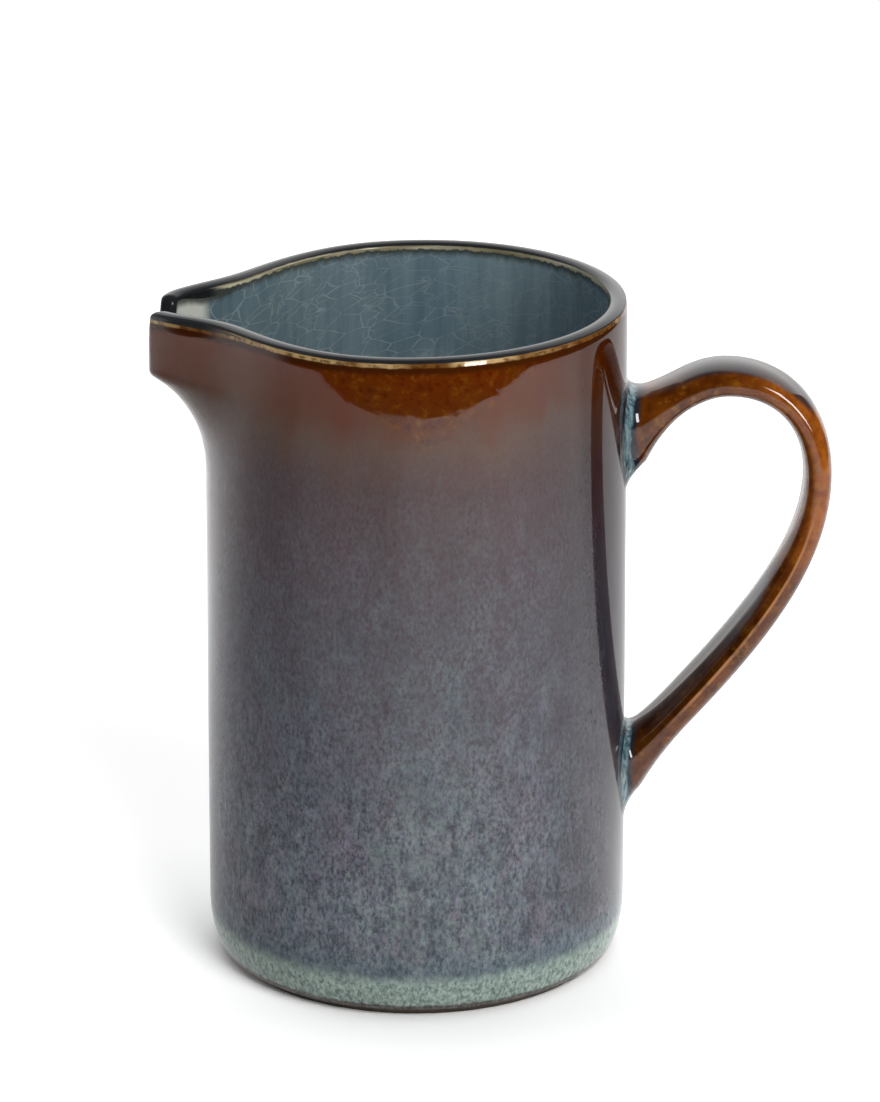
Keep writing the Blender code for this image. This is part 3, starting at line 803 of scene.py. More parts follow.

# Colours, linear RGB, some as a pair of dark and pale. The wall's are listed with their height and with
# the share of pale flecks over them there, those of the lining's sides, which are painted shade, with a
# band from the axis out to the spout.
WALL_COLOURS = (
    (20.0, (0.034, 0.045, 0.062), 1.00),
    (42.0, (0.036, 0.040, 0.058), 0.92),
    (72.0, (0.040, 0.032, 0.050), 0.60),
    (102.0, (0.042, 0.027, 0.038), 0.42),
    (131.0, (0.053, 0.024, 0.026), 0.18),
    (144.0, (0.087, 0.040, 0.023), 0.06),
    (150.5, (0.098, 0.024, 0.003), 0.0),
    (161.0, (0.106, 0.019, 0.0004), 0.0),
)
FLECK_BLUE = (0.185, 0.190, 0.238)
FLECK_GREEN = (0.180, 0.232, 0.228)
GAP_TINT = (0.72, 0.66, 0.74)
PLUM_TINT = (0.98, 0.70, 0.74)
COOL_PATCH = (0.062, 0.090, 0.100)
WARM_PATCH = (1.0, 0.88, 0.92)
COLD_PATCH = (0.92, 0.99, 1.0)
TEAL = ((0.024, 0.044, 0.064), (0.170, 0.205, 0.232))
CELADON = ((0.085, 0.132, 0.126), (0.370, 0.460, 0.400))
THIN_GLAZE = ((0.040, 0.034, 0.030), (0.105, 0.096, 0.085))
HANDLE_SIDE_SHADE = (0.38, 0.34, 0.36)
PATCH_GOLD = (0.210, 0.085, 0.006)
PATCH_DEEP = (0.62, 0.52, 0.50)
BARE_CLAY = ((0.030, 0.020, 0.015), (0.075, 0.055, 0.042))
GOLD = ((0.150, 0.062, 0.012), (0.520, 0.350, 0.150))
UNDER_GOLD = (0.040, 0.009, 0.001)
CROWN_DARK = (0.010, 0.010, 0.011)
CROWN_PALE = (0.022, 0.024, 0.027)
CREAM = ((0.220, 0.190, 0.105), (0.520, 0.480, 0.340))
LINING = ((0.156, 0.228, 0.262), (0.228, 0.315, 0.350))
LINING_CLOUD = (0.84, 0.88, 0.94)
LINING_SIDE_SHADES = (
    ((-28.0, 14.0), (0.72, 0.72, 0.72)),
    ((14.0, 40.0), (0.80, 0.82, 0.80)),
    ((-32.0, -44.0), (0.60, 0.62, 0.66)),
)
CRACK = (0.360, 0.420, 0.420)
LINING_EDGE = (0.040, 0.042, 0.034)
TIP_POOL = (0.520, 0.535, 0.470)
AMBER_DEEP = (0.060, 0.012, 0.0006)
AMBER_PALE = (0.150, 0.040, 0.002)
AMBER_SPOT = (0.60, 0.48, 0.40)
AMBER_LOW_SHADE = (0.45, 0.48, 0.60)
PAINTED_SKY_SHADE = (0.016, 0.017, 0.022)
PAINTED_STRAP_REFLECTION = (0.185, 0.192, 0.205)
AMBER_GOLD = (0.300, 0.125, 0.008)
PAINTED_RIDGE_HIGHLIGHT = (0.380, 0.150, 0.034)
BEND_DEEP = (0.190, 0.042, 0.003)
BEND_PALE = (0.360, 0.105, 0.012)
POOL = ((0.026, 0.056, 0.070), (0.170, 0.265, 0.285))
POOL_EDGE = (0.010, 0.016, 0.024)


def amber_patch(shade, wall):
    """The wall with golden amber in a patch under the rim."""
    below = (PATCH_TOP - shade.z) * PATCH_SLOPE
    inside = (abs(shade.x - PATCH_X) + below).ease(30.0, 21.0)
    amber = shade.place.noise(*AMBER_NOISE)
    wall = (amber.ease(0.52, 0.72, 0.0, 0.5) * inside).mix(wall, PATCH_GOLD)
    return (amber.ease(0.48, 0.30) * inside).tint(wall, PATCH_DEEP)


def glazed_foot(shade, wall, grain, hue, pale):
    """The wall with teal and celadon bands at its foot and a thin edge below them."""
    ragged = shade.place.squeezed(STREAK_SQUEEZE).noise(*FOOT_NOISE).centred(2.4)
    foot_z = shade.z + (ragged + (grain.centred(7.0) + hue.centred(5.0)))
    teal = (pale * 0.9).mix(*TEAL)
    celadon = grain.ease(0.32, 0.68).mix(*CELADON)
    thin = grain.ease(0.4, 0.6).mix(*THIN_GLAZE)
    wall = foot_z.ease(*TEAL_BAND).mix(wall, teal)
    wall = foot_z.ease(*CELADON_BAND).mix(wall, celadon)
    return (shade.z + hue.centred(1.6)).ease(*THIN_BAND).mix(wall, thin)


def reactive_glaze(shade):
    """Colour of the outside: amber under the rim, plum and slate down the wall, celadon at the foot, with
    painted shade beside the handle.
    """
    tall = shade.place.squeezed(TALL_SQUEEZE)
    upright = shade.place.squeezed(UPRIGHT_SQUEEZE)
    drift = shade.place.squeezed(STREAK_SQUEEZE).noise(*DRIFT_NOISE).centred(8.0)
    share = (shade.z + (drift + tall.noise(*SWAY_NOISE).centred(14.0))) / HEIGHT_MM
    wall = share.ramp([(z / HEIGHT_MM, colour) for z, colour, _ in WALL_COLOURS])
    flecked = share.ramp([(z / HEIGHT_MM, (amount,) * 3) for z, _, amount in WALL_COLOURS])
    wall = tall.noise(*BLOTCH_NOISE).ease(0.45, 0.75, 0.0, 0.75).tint(wall, PLUM_TINT)
    low = shade.z.ease(120.0, 55.0, 0.0, 0.5)
    wall = (tall.noise(*COOL_NOISE).ease(0.42, 0.75) * low).mix(wall, COOL_PATCH)
    grain = upright.noise(*GRAIN_NOISE)
    hue = upright.noise(*HUE_NOISE)
    clump = upright.noise(*CLUMP_NOISE).centred(1.0) * shade.z.ease(95.0, 35.0, 0.30, 0.5)
    soft = shade.z.ease(35.0, 95.0, 0.0, 0.07)
    pale = (grain + clump).ease(0.28 - soft, soft + 0.72)
    fleck = pale * tall.noise(*CLUSTER_NOISE).ease(0.28, 0.72, 0.72, 1.2)
    gap = grain.ease(0.5, 0.28) * shade.z.ease(130.0, 50.0, 0.25, 0.8)
    wall = gap.tint(wall, GAP_TINT)
    green = hue + abs(shade.x - GREEN_X).ease(8.0, 26.0, 0.02, -0.08)
    tone = green.ease(0.36, 0.64).mix(FLECK_BLUE, FLECK_GREEN)
    wall = (fleck * flecked).mix(wall, tone)
    patch = tall.noise(*PATCH_NOISE)
    wall = patch.ease(0.48, 0.68).tint(wall, WARM_PATCH)
    wall = patch.ease(0.48, 0.30).tint(wall, COLD_PATCH)
    # Painted shade: the wall is darkened beside the handle, where the light falls off on that side.
    painted_shade_beside_handle = shade.x.ease(2.0, 30.0) * shade.z.ease(6.0, 24.0)
    wall = amber_patch(shade, painted_shade_beside_handle.tint(wall, HANDLE_SIDE_SHADE))
    return glazed_foot(shade, wall, grain, hue, pale)


def rim_gold(shade):
    """Gold of the break along the rim, with painted highlight that makes it paler on the spout's side."""
    # Painted highlight: the gold's own slow change, made paler on the spout's side and duller towards the
    # handle.
    bright = shade.place.noise(*RIM_NOISE) + shade.x.ease(-2.0, 10.0, 0.08, -0.16)
    return bright.ease(0.42, 0.66).mix(*GOLD)


def cream(share):
    """Cream of the line along the rim's inner edge."""
    return share.ease(0.35, 0.7).mix(*CREAM)


def outer_glaze_material():
    """Glossy reactive glaze with a golden break along the rim."""
    shade = Shade("outer_reactive_glaze", WALL_GLOSS, GLAZE_IOR)
    colour = reactive_glaze(shade)
    drop = shade.layer("rim_drop") - shade.from_axis().ease(36.0, 50.0, 0.0, 0.9)
    reach = drop + shade.place.noise(*RIM_EDGE_NOISE).centred(0.5)
    colour = reach.ease(3.0, 1.6, 0.0, 0.9).mix(colour, UNDER_GOLD)
    broken = shade.place.noise(*RIM_BREAK_NOISE).ease(0.36, 0.56, 0.3, 1.0)
    colour = (reach.ease(0.95, 0.55) * broken).mix(colour, rim_gold(shade))
    colour = drop.ease(0.05, -0.15).mix(colour, CROWN_PALE)
    teeth = shade.place.noise(*TEETH_NOISE) * TEETH_SHARE
    shiver = shade.place.noise(*SHIVER_NOISE) * SHIVER_SHARE
    shade.bump(shade.place.noise(*WAVE_NOISE) + (teeth + shiver), WALL_BUMP)
    return shade.done(colour)


def clay_material():
    """Dark bare stoneware, nearly black and thinly glazed along the crown of the rim."""
    shade = Shade("bare_stoneware", CLAY_ROUGHNESS, CLAY_IOR)
    from_axis = shade.from_axis()
    speck = shade.place.noise(*CLAY_NOISE)
    run = shade.place.noise(*RIM_NOISE)
    turn = shade.layer("crown") + shade.place.noise(*CROWN_NOISE).centred(0.06)
    outer = turn.ease(0.10, 0.03) * from_axis.ease(50.0, 40.0)
    rim = outer.mix(run.mix(CROWN_DARK, CROWN_PALE), rim_gold(shade))
    far = from_axis.ease(50.0, 46.0) * shade.y.ease(0.0, 10.0)
    rim = (turn.ease(0.88, 0.97) * far).mix(rim, cream(run))
    shade.put("Roughness", shade.z.ease(*CROWN_BAND, CLAY_ROUGHNESS, CROWN_ROUGHNESS))
    shade.bump(speck, CLAY_BUMP)
    return shade.done(shade.z.ease(*CROWN_BAND).mix(speck.mix(*BARE_CLAY), rim))


def crackle(shade):
    """Share of a crack at a place on the lining: a long net with a shorter one inside it."""
    inputs = {"Vector": shade.place, "Axis": (0.0, 1.0, 0.0), "Angle": CRACK_TURN}
    bent = shade.add("VectorRotate", inputs).scaled(*CRACK_STRETCH).warped(*CRACK_WARP)
    wide = bent.from_edge(LONG_CRACKS).ease(0.034, 0.012)
    close = bent.shifted(CRACK_SHIFT).from_edge(SHORT_CRACKS).ease(0.056, 0.020)
    small = close * shade.place.noise(*CRACK_GATE_NOISE).ease(0.46, 0.60)
    faint = shade.place.noise(*CRACK_FAINT_NOISE).ease(0.32, 0.62, 0.3, 1.0)
    return wide.larger(small) * faint


def lining_material():
    """Crackled celadon lining with darker runs, pale where it pools at the spout's tip, with painted shade
    on its sides.
    """
    shade = Shade("crackled_lining_glaze", LINING_GLOSS, GLAZE_IOR)
    from_axis = shade.from_axis()
    run = shade.place.squeezed(LINING_SQUEEZE).noise(*LINING_RUN_NOISE)
    cloud = shade.place.noise(*LINING_CLOUD_NOISE)
    colour = run.ease(0.25, 0.75).mix(*LINING)
    colour = cloud.ease(0.4, 0.7).tint(colour, LINING_CLOUD)
    # Painted shade: the lining is darkened in bands towards the spout's side and the handle's side.
    for band, factor in LINING_SIDE_SHADES:
        colour = from_axis.ease(*band).tint(colour, factor)
    colour = (crackle(shade) * CRACK_SHARE).mix(colour, CRACK)
    colour = (from_axis + run.centred(3.0)).ease(48.0, 52.0).mix(colour, TIP_POOL)
    drop = shade.layer("rim_drop")
    pinch = from_axis.ease(40.0, 48.0) * from_axis.ease(57.0, 50.0)
    reach = drop + shade.place.squeezed(DRIP_SQUEEZE).noise(*LINING_EDGE_NOISE) * LINING_RAGGED
    colour = (reach - pinch * PINCHED_EDGE).ease(3.6, 1.5, 0.0, 0.9).mix(colour, LINING_EDGE)
    line = reach.ease(1.6, 1.15) * from_axis.ease(49.5, 44.0)
    colour = line.mix(colour, cream(cloud))
    dark_tip = (drop - pinch * PINCHED_TIP).ease(0.55, 0.25) * from_axis.ease(46.5, 49.5)
    return shade.done(dark_tip.mix(colour, CROWN_DARK))


def amber_colour(shade, away):
    """Mottled amber-brown glaze, brighter round the bend, with painted shade, highlight and reflection;
    away in mm.
    """
    outward = shade.layer("outward")
    blot = shade.place.warped(*BLOT_WARP).noise(*BLOT_NOISE)
    spots = shade.place.noise(*SPOT_NOISE)
    bend = shade.x.ease(52.0, 74.0) * shade.z.ease(92.0, 114.0)
    deep = bend.mix(AMBER_DEEP, BEND_DEEP)
    pale = bend.mix(AMBER_PALE, BEND_PALE)
    colour = blot.ease(0.25, 0.78).mix(deep, pale)
    colour = spots.ease(0.50, 0.75, 0.0, 0.5).tint(colour, AMBER_SPOT)
    colour = shade.place.noise(*GOLD_NOISE).ease(0.54, 0.72, 0.0, 0.42).mix(colour, AMBER_GOLD)
    # Painted shade: the amber is darkened low on the inside of the loop.
    inner = shade.z.ease(98.0, 78.0) * outward.ease(-0.02, -0.32)
    colour = inner.tint(colour, AMBER_LOW_SHADE)
    # Painted highlight: a bright orange line along the strap, broken up by the blots.
    on_strap = shade.z.ease(56.0, 68.0) * shade.z.ease(118.0, 104.0)
    thin = blot.ease(0.30, 0.60, 0.35, 1.0) * on_strap
    ridge_highlight = abs(outward - HIGHLIGHT_OUTWARD).ease(0.16, 0.02)
    colour = (ridge_highlight * thin).mix(colour, PAINTED_RIDGE_HIGHLIGHT)
    # Painted shade and reflection: where the handle faces up it is painted dark on the arch, under the
    # sky's reflection, and pale grey on the strap's inner side as a reflection.
    up = shade.layer("skyward") + spots.centred(0.10)
    sky = up.ease(0.80, 0.96, 0.0, 0.9) * away.ease(6.0, 17.0)
    sky = sky * shade.z.ease(72.0, 98.0, 0.15, 1.0)
    painted_shade_and_reflection = shade.z.ease(106.0, 130.0).mix(PAINTED_STRAP_REFLECTION, PAINTED_SKY_SHADE)
    return sky.mix(colour, painted_shade_and_reflection)


def pool_colour(shade, away):
    """Glaze pooled round a handle root, from the wall out on to the amber handle; away in mm."""
    streaks = shade.place.squeezed(DRIP_SQUEEZE).noise(*POOL_NOISE)
    pale = streaks.ease(0.36, 0.66).mix(*POOL)
    reach = away + shade.place.noise(*WISP_NOISE).centred(2.0)
    colour = reach.ease(0.6, 2.2).mix(pale, POOL_EDGE)
    return reach.ease(2.4, 4.6).mix(colour, amber_colour(shade, away))


def handle_material():
    """Amber handle glaze that darkens into the pooled glaze at each root."""
    shade = Shade("amber_handle_glaze", HANDLE_GLOSS, GLAZE_IOR)
    shade.bump(shade.place.noise(*HANDLE_NOISE), HANDLE_BUMP)
    return shade.done(pool_colour(shade, shade.layer("root_away")))


def root_material():
    """Pooled glaze of the slip joints, blended into the wall at its foot."""
    shade = Shade("pooled_root_glaze", HANDLE_GLOSS, GLAZE_IOR)
    shade.bump(shade.place.noise(*HANDLE_NOISE), HANDLE_BUMP)
    away = shade.layer("root_away")
    rim = away.ease(-2.4, -1.6).mix(POOL_EDGE, pool_colour(shade, away))
    return shade.done(away.ease(-3.8, -2.6).mix(reactive_glaze(shade), rim))


def edge_roll(drop):
    """How far the outer coat draws in at a drop from the crown's edge."""
    return EDGE_ROLL * np.maximum(1 - drop / EDGE_ROLL_DEPTH, 0.0) ** 2


def column_drop(rows):
    """Distance in millimetres down each column from its first row."""
    points = np.array(points_of(rows))
    steps = np.linalg.norm(np.diff(points, axis=0), axis=2)
    return np.concatenate([np.zeros((1, points.shape[1])), np.cumsum(steps, axis=0)]) * MM


def make_outer(rim, material):
    """Outer glaze coat, from the bare foot to the edge of the crown."""
    rows = outside_rows(rim, GLAZE_LINE, COAT, GLAZE_ROWS)
    drop = column_drop(rows[::-1])[::-1]
    rolled = []
    for (angle, radius, z), down in zip(rows, drop):
        rolled.append((angle, radius + ripple(angle, z) - edge_roll(down / MM), z))
    hidden = outside_rows(rim, GLAZE_LINE, FIT_GAP, GLAZE_ROWS)
    values = np.concatenate([drop, drop[::-1]]).ravel()
    rings = points_of(rolled) + points_of(hidden[::-1])
    return skin("outer_coat", rings, material, {"rim_drop": values})


def make_clay(rim, material):
    """Clay shell: hollowed foot, the wall under the glaze, and the crown of the rim."""
    standing = foot_radius(FOOT_RIM_HEIGHT) - FOOT_RIM_SLOPE
    hollow = standing - FOOT_RING_WIDTH
    profile = [(hollow * k / HOLLOW_ROWS, FOOT_RECESS) for k in range(1, HOLLOW_ROWS)]
    profile += [
        (hollow - FOOT_RECESS, FOOT_RECESS),
        (hollow - FOOT_RING_SLOPE, FOOT_RING_ROUND),
        (hollow, 0.0),
        (standing - FOOT_RING_ROUND, 0.0),
        (standing, FOOT_RING_ROUND),
    ]
    outside = [(rim.base, radius, z) for radius, z in profile]
    outside += outside_rows(rim, FOOT_RIM_HEIGHT, 0.0, CLAY_ROWS)
    inside = inside_rows(rim, 0.0, CLAY_ROWS)
    rings = points_of(outside + crown_rows(rim) + inside)
    over = [k / CROWN_ROWS for k in range(CROWN_ROWS + 1)]
    turn = np.repeat([0.0] * len(outside) + over + [1.0] * len(inside), rim.count)
    poles = ((AXIS_X, 0.0, FOOT_RECESS), (AXIS_X, 0.0, FLOOR_HEIGHT))
    return skin("clay_shell", rings, material, {"crown": turn}, poles)


def make_lining(rim, material):
    """Lining glaze, from the edge of the crown down to the floor."""
    rows = inside_rows(rim, COAT, GLAZE_ROWS)
    hidden = inside_rows(rim, FIT_GAP, GLAZE_ROWS)
    drop = column_drop(rows)
    values = np.concatenate([drop[::-1], drop]).ravel()
    rings = points_of(hidden[::-1]) + points_of(rows)
    poles = ((AXIS_X, 0.0, FLOOR_HEIGHT + FIT_GAP), (AXIS_X, 0.0, FLOOR_HEIGHT + COAT))
    return skin("lining_coat", rings, material, {"rim_drop": values}, poles)


def make_handle_coat(path, material):
    """Glaze round the free length of the handle."""
    start = path.pool_end(True)
    end = path.pool_end(False)
    lengths = [path.shifted(station, start, end) for station in path.stations()]
    outer = [path.surface(length, COAT) for length in lengths]
    inner = [path.surface(length, FIT_GAP) for length in lengths]
    rows = {
        "root_away": [(np.minimum(row - start, end - row) + JOINT_CLIMB) * MM for row in lengths],
        "outward": [path.outward(length) for length in lengths],
        "skyward": [path.skyward(length) for length in lengths],
    }
    layers = {name: np.concatenate(values + values[::-1]) for name, values in rows.items()}
    return skin("handle_coat", to_frame(outer + inner[::-1]), material, layers)


def make_root(name, path, upper, material):
    """Pooled glaze over a slip joint, hollowed from the handle down to the wall."""
    outline = joint_outline(path, upper)
    end = path.pool_end(upper)
    top = path.surface(end, COAT)
    middle = path.surface(path.trim(COAT, upper), COAT)
    edge = on_wall(outline, COAT - POOL_SINK)
    back = path.surface(end - (KNEE_STEP if upper else -KNEE_STEP), COAT) - top
    back /= np.linalg.norm(back, axis=1, keepdims=True)
    rise = np.linalg.norm(middle - top, axis=1, keepdims=True)
    knee = top + back * rise * JOINT_FULLNESS
    heave = edge + (middle - edge) * JOINT_FULLNESS
    shares = [k / FILLET_ROWS for k in range(FILLET_ROWS + 1)]
    rings = [bezier(edge, heave, knee, top, share) for share in shares]
    rings.append(path.surface(end, FIT_GAP))
    rings.append(path.surface(path.trim(FIT_GAP, upper), FIT_GAP))
    rings.append(on_wall(outline, FIT_GAP))
    away = [share * (JOINT_CLIMB + JOINT_SPREAD) - JOINT_SPREAD for share in shares]
    away += [JOINT_CLIMB, 0.0, -JOINT_SPREAD]
    layers = {
        "root_away": np.repeat(away, SECTION_SIDES) * MM,
        "outward": np.tile(path.outward(end), len(rings)),
    }
    return skin(name, to_frame(rings), material, layers)


def make_pieces():
    """Every piece of the jug, each riding on the part and standing for its solid."""
    rim = Rim()
    path = HandlePath()
    pooled = root_material()
    pieces = (
        (make_outer(rim, outer_glaze_material()), "outer_glaze", "outer_glaze"),
        (make_clay(rim, clay_material()), "stoneware_body", "stoneware"),
        (make_lining(rim, lining_material()), "lining_glaze", "lining_glaze"),
        (make_handle_coat(path, handle_material()), "handle_glaze", "amber_glaze"),
        (make_root("upper_root_pool", path, True, pooled), "upper_slip_joint", "pooled_glaze"),
        (make_root("lower_root_pool", path, False, pooled), "lower_slip_joint", "pooled_glaze"),
    )
    for piece, node, slot in pieces:
        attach(piece, "root")
        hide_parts(node)


def dress_handle_clay():
    """Clay of the handle, which stays as the solid it is inside its glaze."""
    shade = Shade("handle_stoneware", HANDLE_CLAY_ROUGHNESS, HANDLE_CLAY_IOR)
    speck = shade.place.noise(*CLAY_NOISE)
    shade.bump(speck, HANDLE_CLAY_BUMP)
    material = shade.done(speck.mix(*BARE_CLAY))
    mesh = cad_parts["handle"].data
    mesh.materials.clear()
    mesh.materials.append(material)


# Studio, in metres: the photograph's camera, a round white table, a dark front and soft lamps.
# A fade of a card is an axis, where it starts and ends, and the share of the card there.
CAMERA_TARGET = (AXIS_X + 0.00575, 0.0, 0.1006)
CAMERA_DISTANCE = 1.2
CAMERA_ELEVATION = math.radians(19.81)
CAMERA_CLIP = 20.0
SENSOR_HEIGHT = 36.0
FOCAL_PIXELS = 4988.0
IMAGE_HEIGHT = 1102.0
TABLE_RADIUS = 0.606
TABLE_BEHIND = 0.085
TABLE_DROP = 0.00002
TABLE_SIDES = 128
TABLE_COLOUR = 0.72
TABLE_SEEN = 1.2
# The side card is a painted shadow of the jug on the table and the back card painted shade on the table
# behind it, both seen only in reflections.
SIDE_GLOW = 0.52
SIDE_LIFT = 0.0004
SIDE_FADES = (
    ("X", -0.02, -0.10, 0.0, 1.0),
    ("X", -0.62, -0.50, 0.0, 1.0),
    ("Y", -0.24, -0.08, 0.4, 1.0),
    ("Y", 0.25, -0.02, 0.0, 1.0),
)
BACK_GLOW = 0.75
BACK_LIFT = 0.0008
BACK_FADES = (
    ("X", -0.02, 0.05, 0.0, 0.8),
    ("Y", 0.00, 0.10, 0.0, 1.0),
    ("Y", 0.64, 0.50, 0.0, 1.0),
)

# The soft box bends up and over: its sides as places along X with their share of the light, and its
# light at stops in degrees up from behind
SKY_RADIUS = 2.4
SKY_SIDES = ((-4.0, 1.0), (1.2, 1.0), (2.8, 0.02))
SKY_STOPS = ((4.0, 1.0), (16.0, 1.9), (58.0, 1.7), (76.0, 0.03), (100.0, 0.03))
SKY_STEPS = 34
SKY_TURN = math.radians(-20)
WINDOW_PLACE = (0.62, -1.05, 0.34)
WINDOW_TARGET = (0.0, 0.0, 0.09)
WINDOW_SIZE = (0.26, 0.66)
WINDOW_GLOW = 22.0
FRONT_TOP = 2.5
FRONT_BOTTOM = -2.0
FRONT_RADIUS = 2.5
FRONT_TURNS = (math.radians(-92), math.radians(92))
WING_RADIUS = 2.45
WING_TURNS = (math.radians(70), math.radians(150))
FRONT_FADE = math.radians(14)
FRONT_STEPS = 24
FRONT_GLOW = 0.03
WORLD_GLOW = 1.0
WHITE = (1.0, 1.0, 1.0)

# Lamps: name, place, what it is aimed at, size and watts
LAMPS = (
    ("overhead", (-0.1, 0.62, 1.25), (0.0, 0.35, 0.0), (1.5, 1.1), 6.0),
    ("top_fill", (0.50, -0.85, 0.95), (0.0, 0.0, 0.10), (0.7, 0.7), 11.0),
    ("window_light", WINDOW_PLACE, WINDOW_TARGET, WINDOW_SIZE, 4.5),
)


def facing(direction):
    """Rotation of a camera, a lamp or a card that looks along a direction."""
    return direction.to_track_quat("-Z", "Y").to_euler()


def make_camera():
    """Camera at the photograph's angle."""
    data = bpy.data.cameras.new("camera")
    data.sensor_fit = "VERTICAL"
    data.sensor_height = SENSOR_HEIGHT
    data.lens = FOCAL_PIXELS * SENSOR_HEIGHT / IMAGE_HEIGHT
    data.clip_end = CAMERA_CLIP
    camera = new_object("camera", data)
    back = Vector((0.0, -math.cos(CAMERA_ELEVATION), math.sin(CAMERA_ELEVATION)))
    camera.location = Vector(CAMERA_TARGET) + back * CAMERA_DISTANCE
    camera.rotation_euler = facing(-back)
    bpy.context.scene.camera = camera


class Stage(Nodes):
    """A plain material of the studio, or its world, under construction."""

    def __init__(self, owner):
        super().__init__(owner)
        self.tree.nodes.clear()

    def glow(self, strength):
        """Light of its own."""
        return self.add("Emission", {"Strength": strength})

    def done(self, surface, kind="Material"):
        """The finished material or world."""
        output = self.tree.nodes.new("ShaderNodeOutput" + kind)
        self.feed(output.inputs["Surface"], surface)
        return self.owner


def stage_object(name, verts, faces, material):
    """An object of the studio, which is no piece of the part."""
    mesh = bpy.data.meshes.new(name)
    mesh.from_pydata(verts, [], faces)
    mesh.materials.append(material)
    obj = new_object(name, mesh)
    return obj


def only_in_reflections(obj):
    """Hide an object of the studio from the camera, from soft light and from shadows."""
    obj.visible_camera = False
    obj.visible_diffuse = False
    obj.visible_shadow = False


def make_disc(name, height, material):
    """Disc as wide as the table, at a height."""
    turns = 2 * math.pi * np.arange(TABLE_SIDES) / TABLE_SIDES
    x = AXIS_X + TABLE_RADIUS * np.cos(turns)
    y = TABLE_BEHIND + TABLE_RADIUS * np.sin(turns)
    verts = np.stack([x, y, np.full(TABLE_SIDES, height)], axis=-1).tolist()
    return stage_object(name, verts, [tuple(range(TABLE_SIDES))], material)


def make_table():
    """Round white table: white to the camera and in reflections, with the jug's shadow kept."""
    stage = Stage(bpy.data.materials.new("white_table"))
    seen = stage.add("LightPath", {}, "Is Camera Ray")
    for kind in ("Is Glossy Ray", "Is Transmission Ray"):
        seen = seen.larger(stage.add("LightPath", {}, kind))
    level = stage.add("MapRange", {"Value": seen, "To Min": TABLE_COLOUR, "To Max": TABLE_SEEN})
    make_disc("table", -TABLE_DROP, stage.done(stage.add("BsdfDiffuse", {"Color": level})))


def make_card(name, lift, strength, fades):
    """Grey card over the table that paints shade on it, seen only in reflections and only where its fades
    let it be.
    """
    stage = Stage(bpy.data.materials.new(name))
    place = stage.add("TexCoord", {}, "Object")
    share = 1.0
    for axis, start, end, low, high in fades:
        share = stage.add("SeparateXYZ", {0: place}, axis).ease(start, end, low, high) * share
    clear = stage.add("BsdfTransparent", {})
    surface = stage.add("MixShader", {0: share, 1: clear, 2: stage.glow(strength)})
    only_in_reflections(make_disc(name, lift, stage.done(surface)))


def make_sky():
    """Soft box that bends up from behind, seen only in reflections, bright low down and dark overhead."""
    stage = Stage(bpy.data.materials.new("soft_box"))
    level = stage.add("Attribute", {}, "Fac", attribute_name="level")
    material = stage.done(stage.glow(level))
    turns = np.linspace(SKY_STOPS[0][0], SKY_STOPS[-1][0], SKY_STEPS + 1)
    levels = np.interp(turns, *zip(*SKY_STOPS))
    y = SKY_RADIUS * np.cos(np.radians(turns))
    z = SKY_RADIUS * np.sin(np.radians(turns))
    columns = len(SKY_SIDES)
    verts = [(x, *point) for point in zip(y.tolist(), z.tolist()) for x, _ in SKY_SIDES]
    corners = [columns * row + k for row in range(SKY_STEPS) for k in range(columns - 1)]
    faces = [(k, k + 1, k + columns + 1, k + columns) for k in corners]
    sky = stage_object("soft_box", verts, faces, material)
    keep_values(sky.data, "level", np.outer(levels, [share for _, share in SKY_SIDES]).ravel())
    sky.rotation_euler.z = SKY_TURN
    only_in_reflections(sky)


def make_window():
    """Bright window on the right, seen only in reflections."""
    stage = Stage(bpy.data.materials.new("window"))
    across, high = (size / 2 for size in WINDOW_SIZE)
    verts = [(-across, -high, 0.0), (across, -high, 0.0), (across, high, 0.0), (-across, high, 0.0)]
    window = stage_object("window", verts, [(0, 1, 2, 3)], stage.done(stage.glow(WINDOW_GLOW)))
    window.location = WINDOW_PLACE
    window.rotation_euler = facing(Vector(WINDOW_TARGET) - Vector(WINDOW_PLACE))
    only_in_reflections(window)


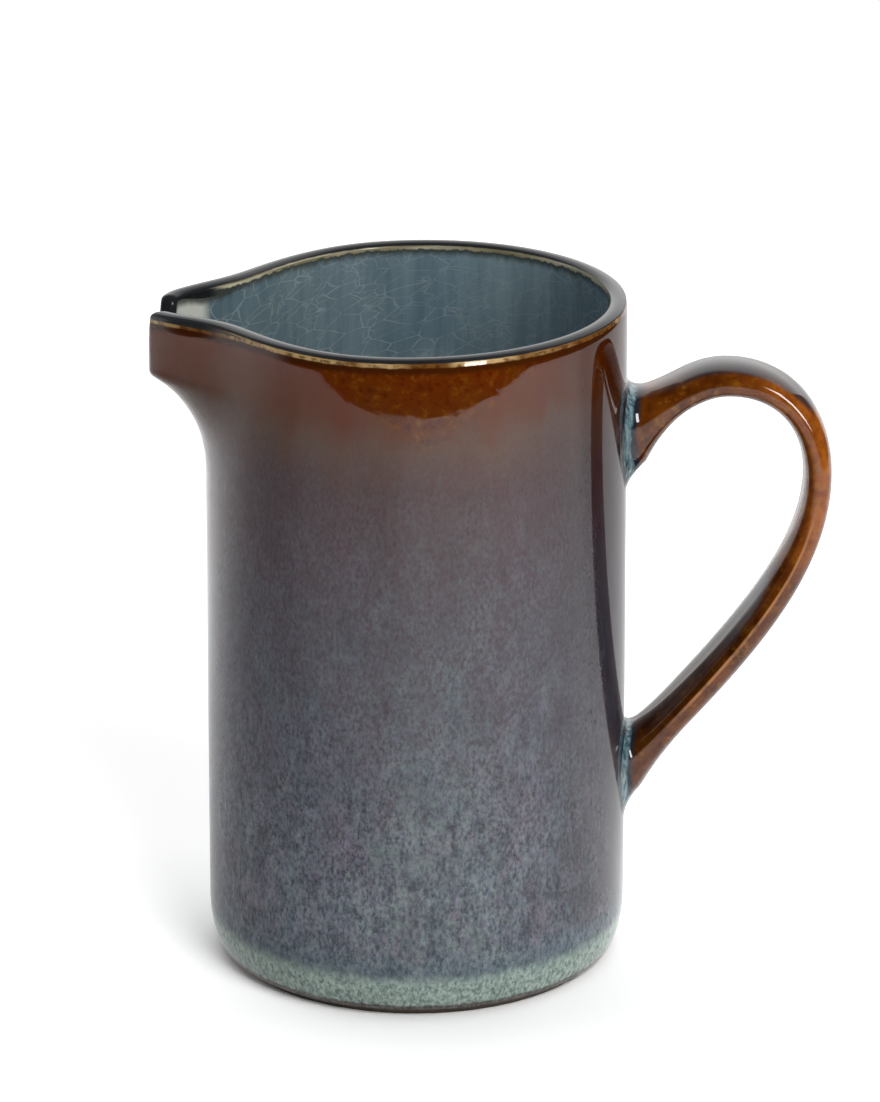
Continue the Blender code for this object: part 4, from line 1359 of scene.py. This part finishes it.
def make_front(name, radius, turns, fades):
    """Dark curved wall and roof, hidden from the camera, fading to white at the turns in fades."""
    stage = Stage(bpy.data.materials.new(name))
    share = stage.add("Attribute", {}, "Fac", attribute_name="edge")
    material = stage.done(stage.glow(share.ease(0.0, 1.0, FRONT_GLOW, WORLD_GLOW)))
    verts = []
    edge = []
    faces = []
    for turn in np.linspace(*turns, FRONT_STEPS + 1).tolist():
        x = AXIS_X + radius * math.sin(turn)
        y = -radius * math.cos(turn)
        verts += [(x, y, FRONT_BOTTOM), (x, y, FRONT_TOP), (AXIS_X, 0.0, FRONT_TOP)]
        inside = min(abs(turn - end) for end in fades)
        edge += [1 - min(inside / FRONT_FADE, 1.0)] * 3
    for k in range(0, 3 * FRONT_STEPS, 3):
        faces += [(k, k + 3, k + 4, k + 1), (k + 1, k + 4, k + 5, k + 2)]
    front = stage_object(name, verts, faces, material)
    keep_values(front.data, "edge", edge)
    front.visible_camera = False
    return front


def make_world():
    """Plain white all round."""
    stage = Stage(bpy.data.worlds.new("studio"))
    surface = stage.add("Background", {"Color": opaque(WHITE), "Strength": WORLD_GLOW})
    bpy.context.scene.world = stage.done(surface, "World")


def make_lamp(name, place, target, size, watts):
    """Soft lamp, a rectangle aimed at a point."""
    data = bpy.data.lights.new(name, "AREA")
    data.shape = "RECTANGLE"
    data.size, data.size_y = size
    data.energy = watts
    lamp = new_object(name, data)
    lamp.location = place
    lamp.rotation_euler = facing(Vector(target) - Vector(place))
    lamp.visible_glossy = False


def make_studio():
    """Camera, table, backdrop and lamps."""
    make_camera()
    make_table()
    # Painted shadow and shade on the table, seen only in reflections.
    make_card("jug_shadow_card", SIDE_LIFT, SIDE_GLOW, SIDE_FADES)
    make_card("back_shade_card", BACK_LIFT, BACK_GLOW, BACK_FADES)
    make_sky()
    make_window()
    make_front("dark_front", FRONT_RADIUS, FRONT_TURNS, FRONT_TURNS)
    only_in_reflections(make_front("dark_wing", WING_RADIUS, WING_TURNS, WING_TURNS[1:]))
    make_world()
    for lamp in LAMPS:
        make_lamp(*lamp)
    bpy.context.scene.view_settings.view_transform = "Standard"


make_pieces()
dress_handle_clay()
make_studio()
bpy.context.view_layer.update()
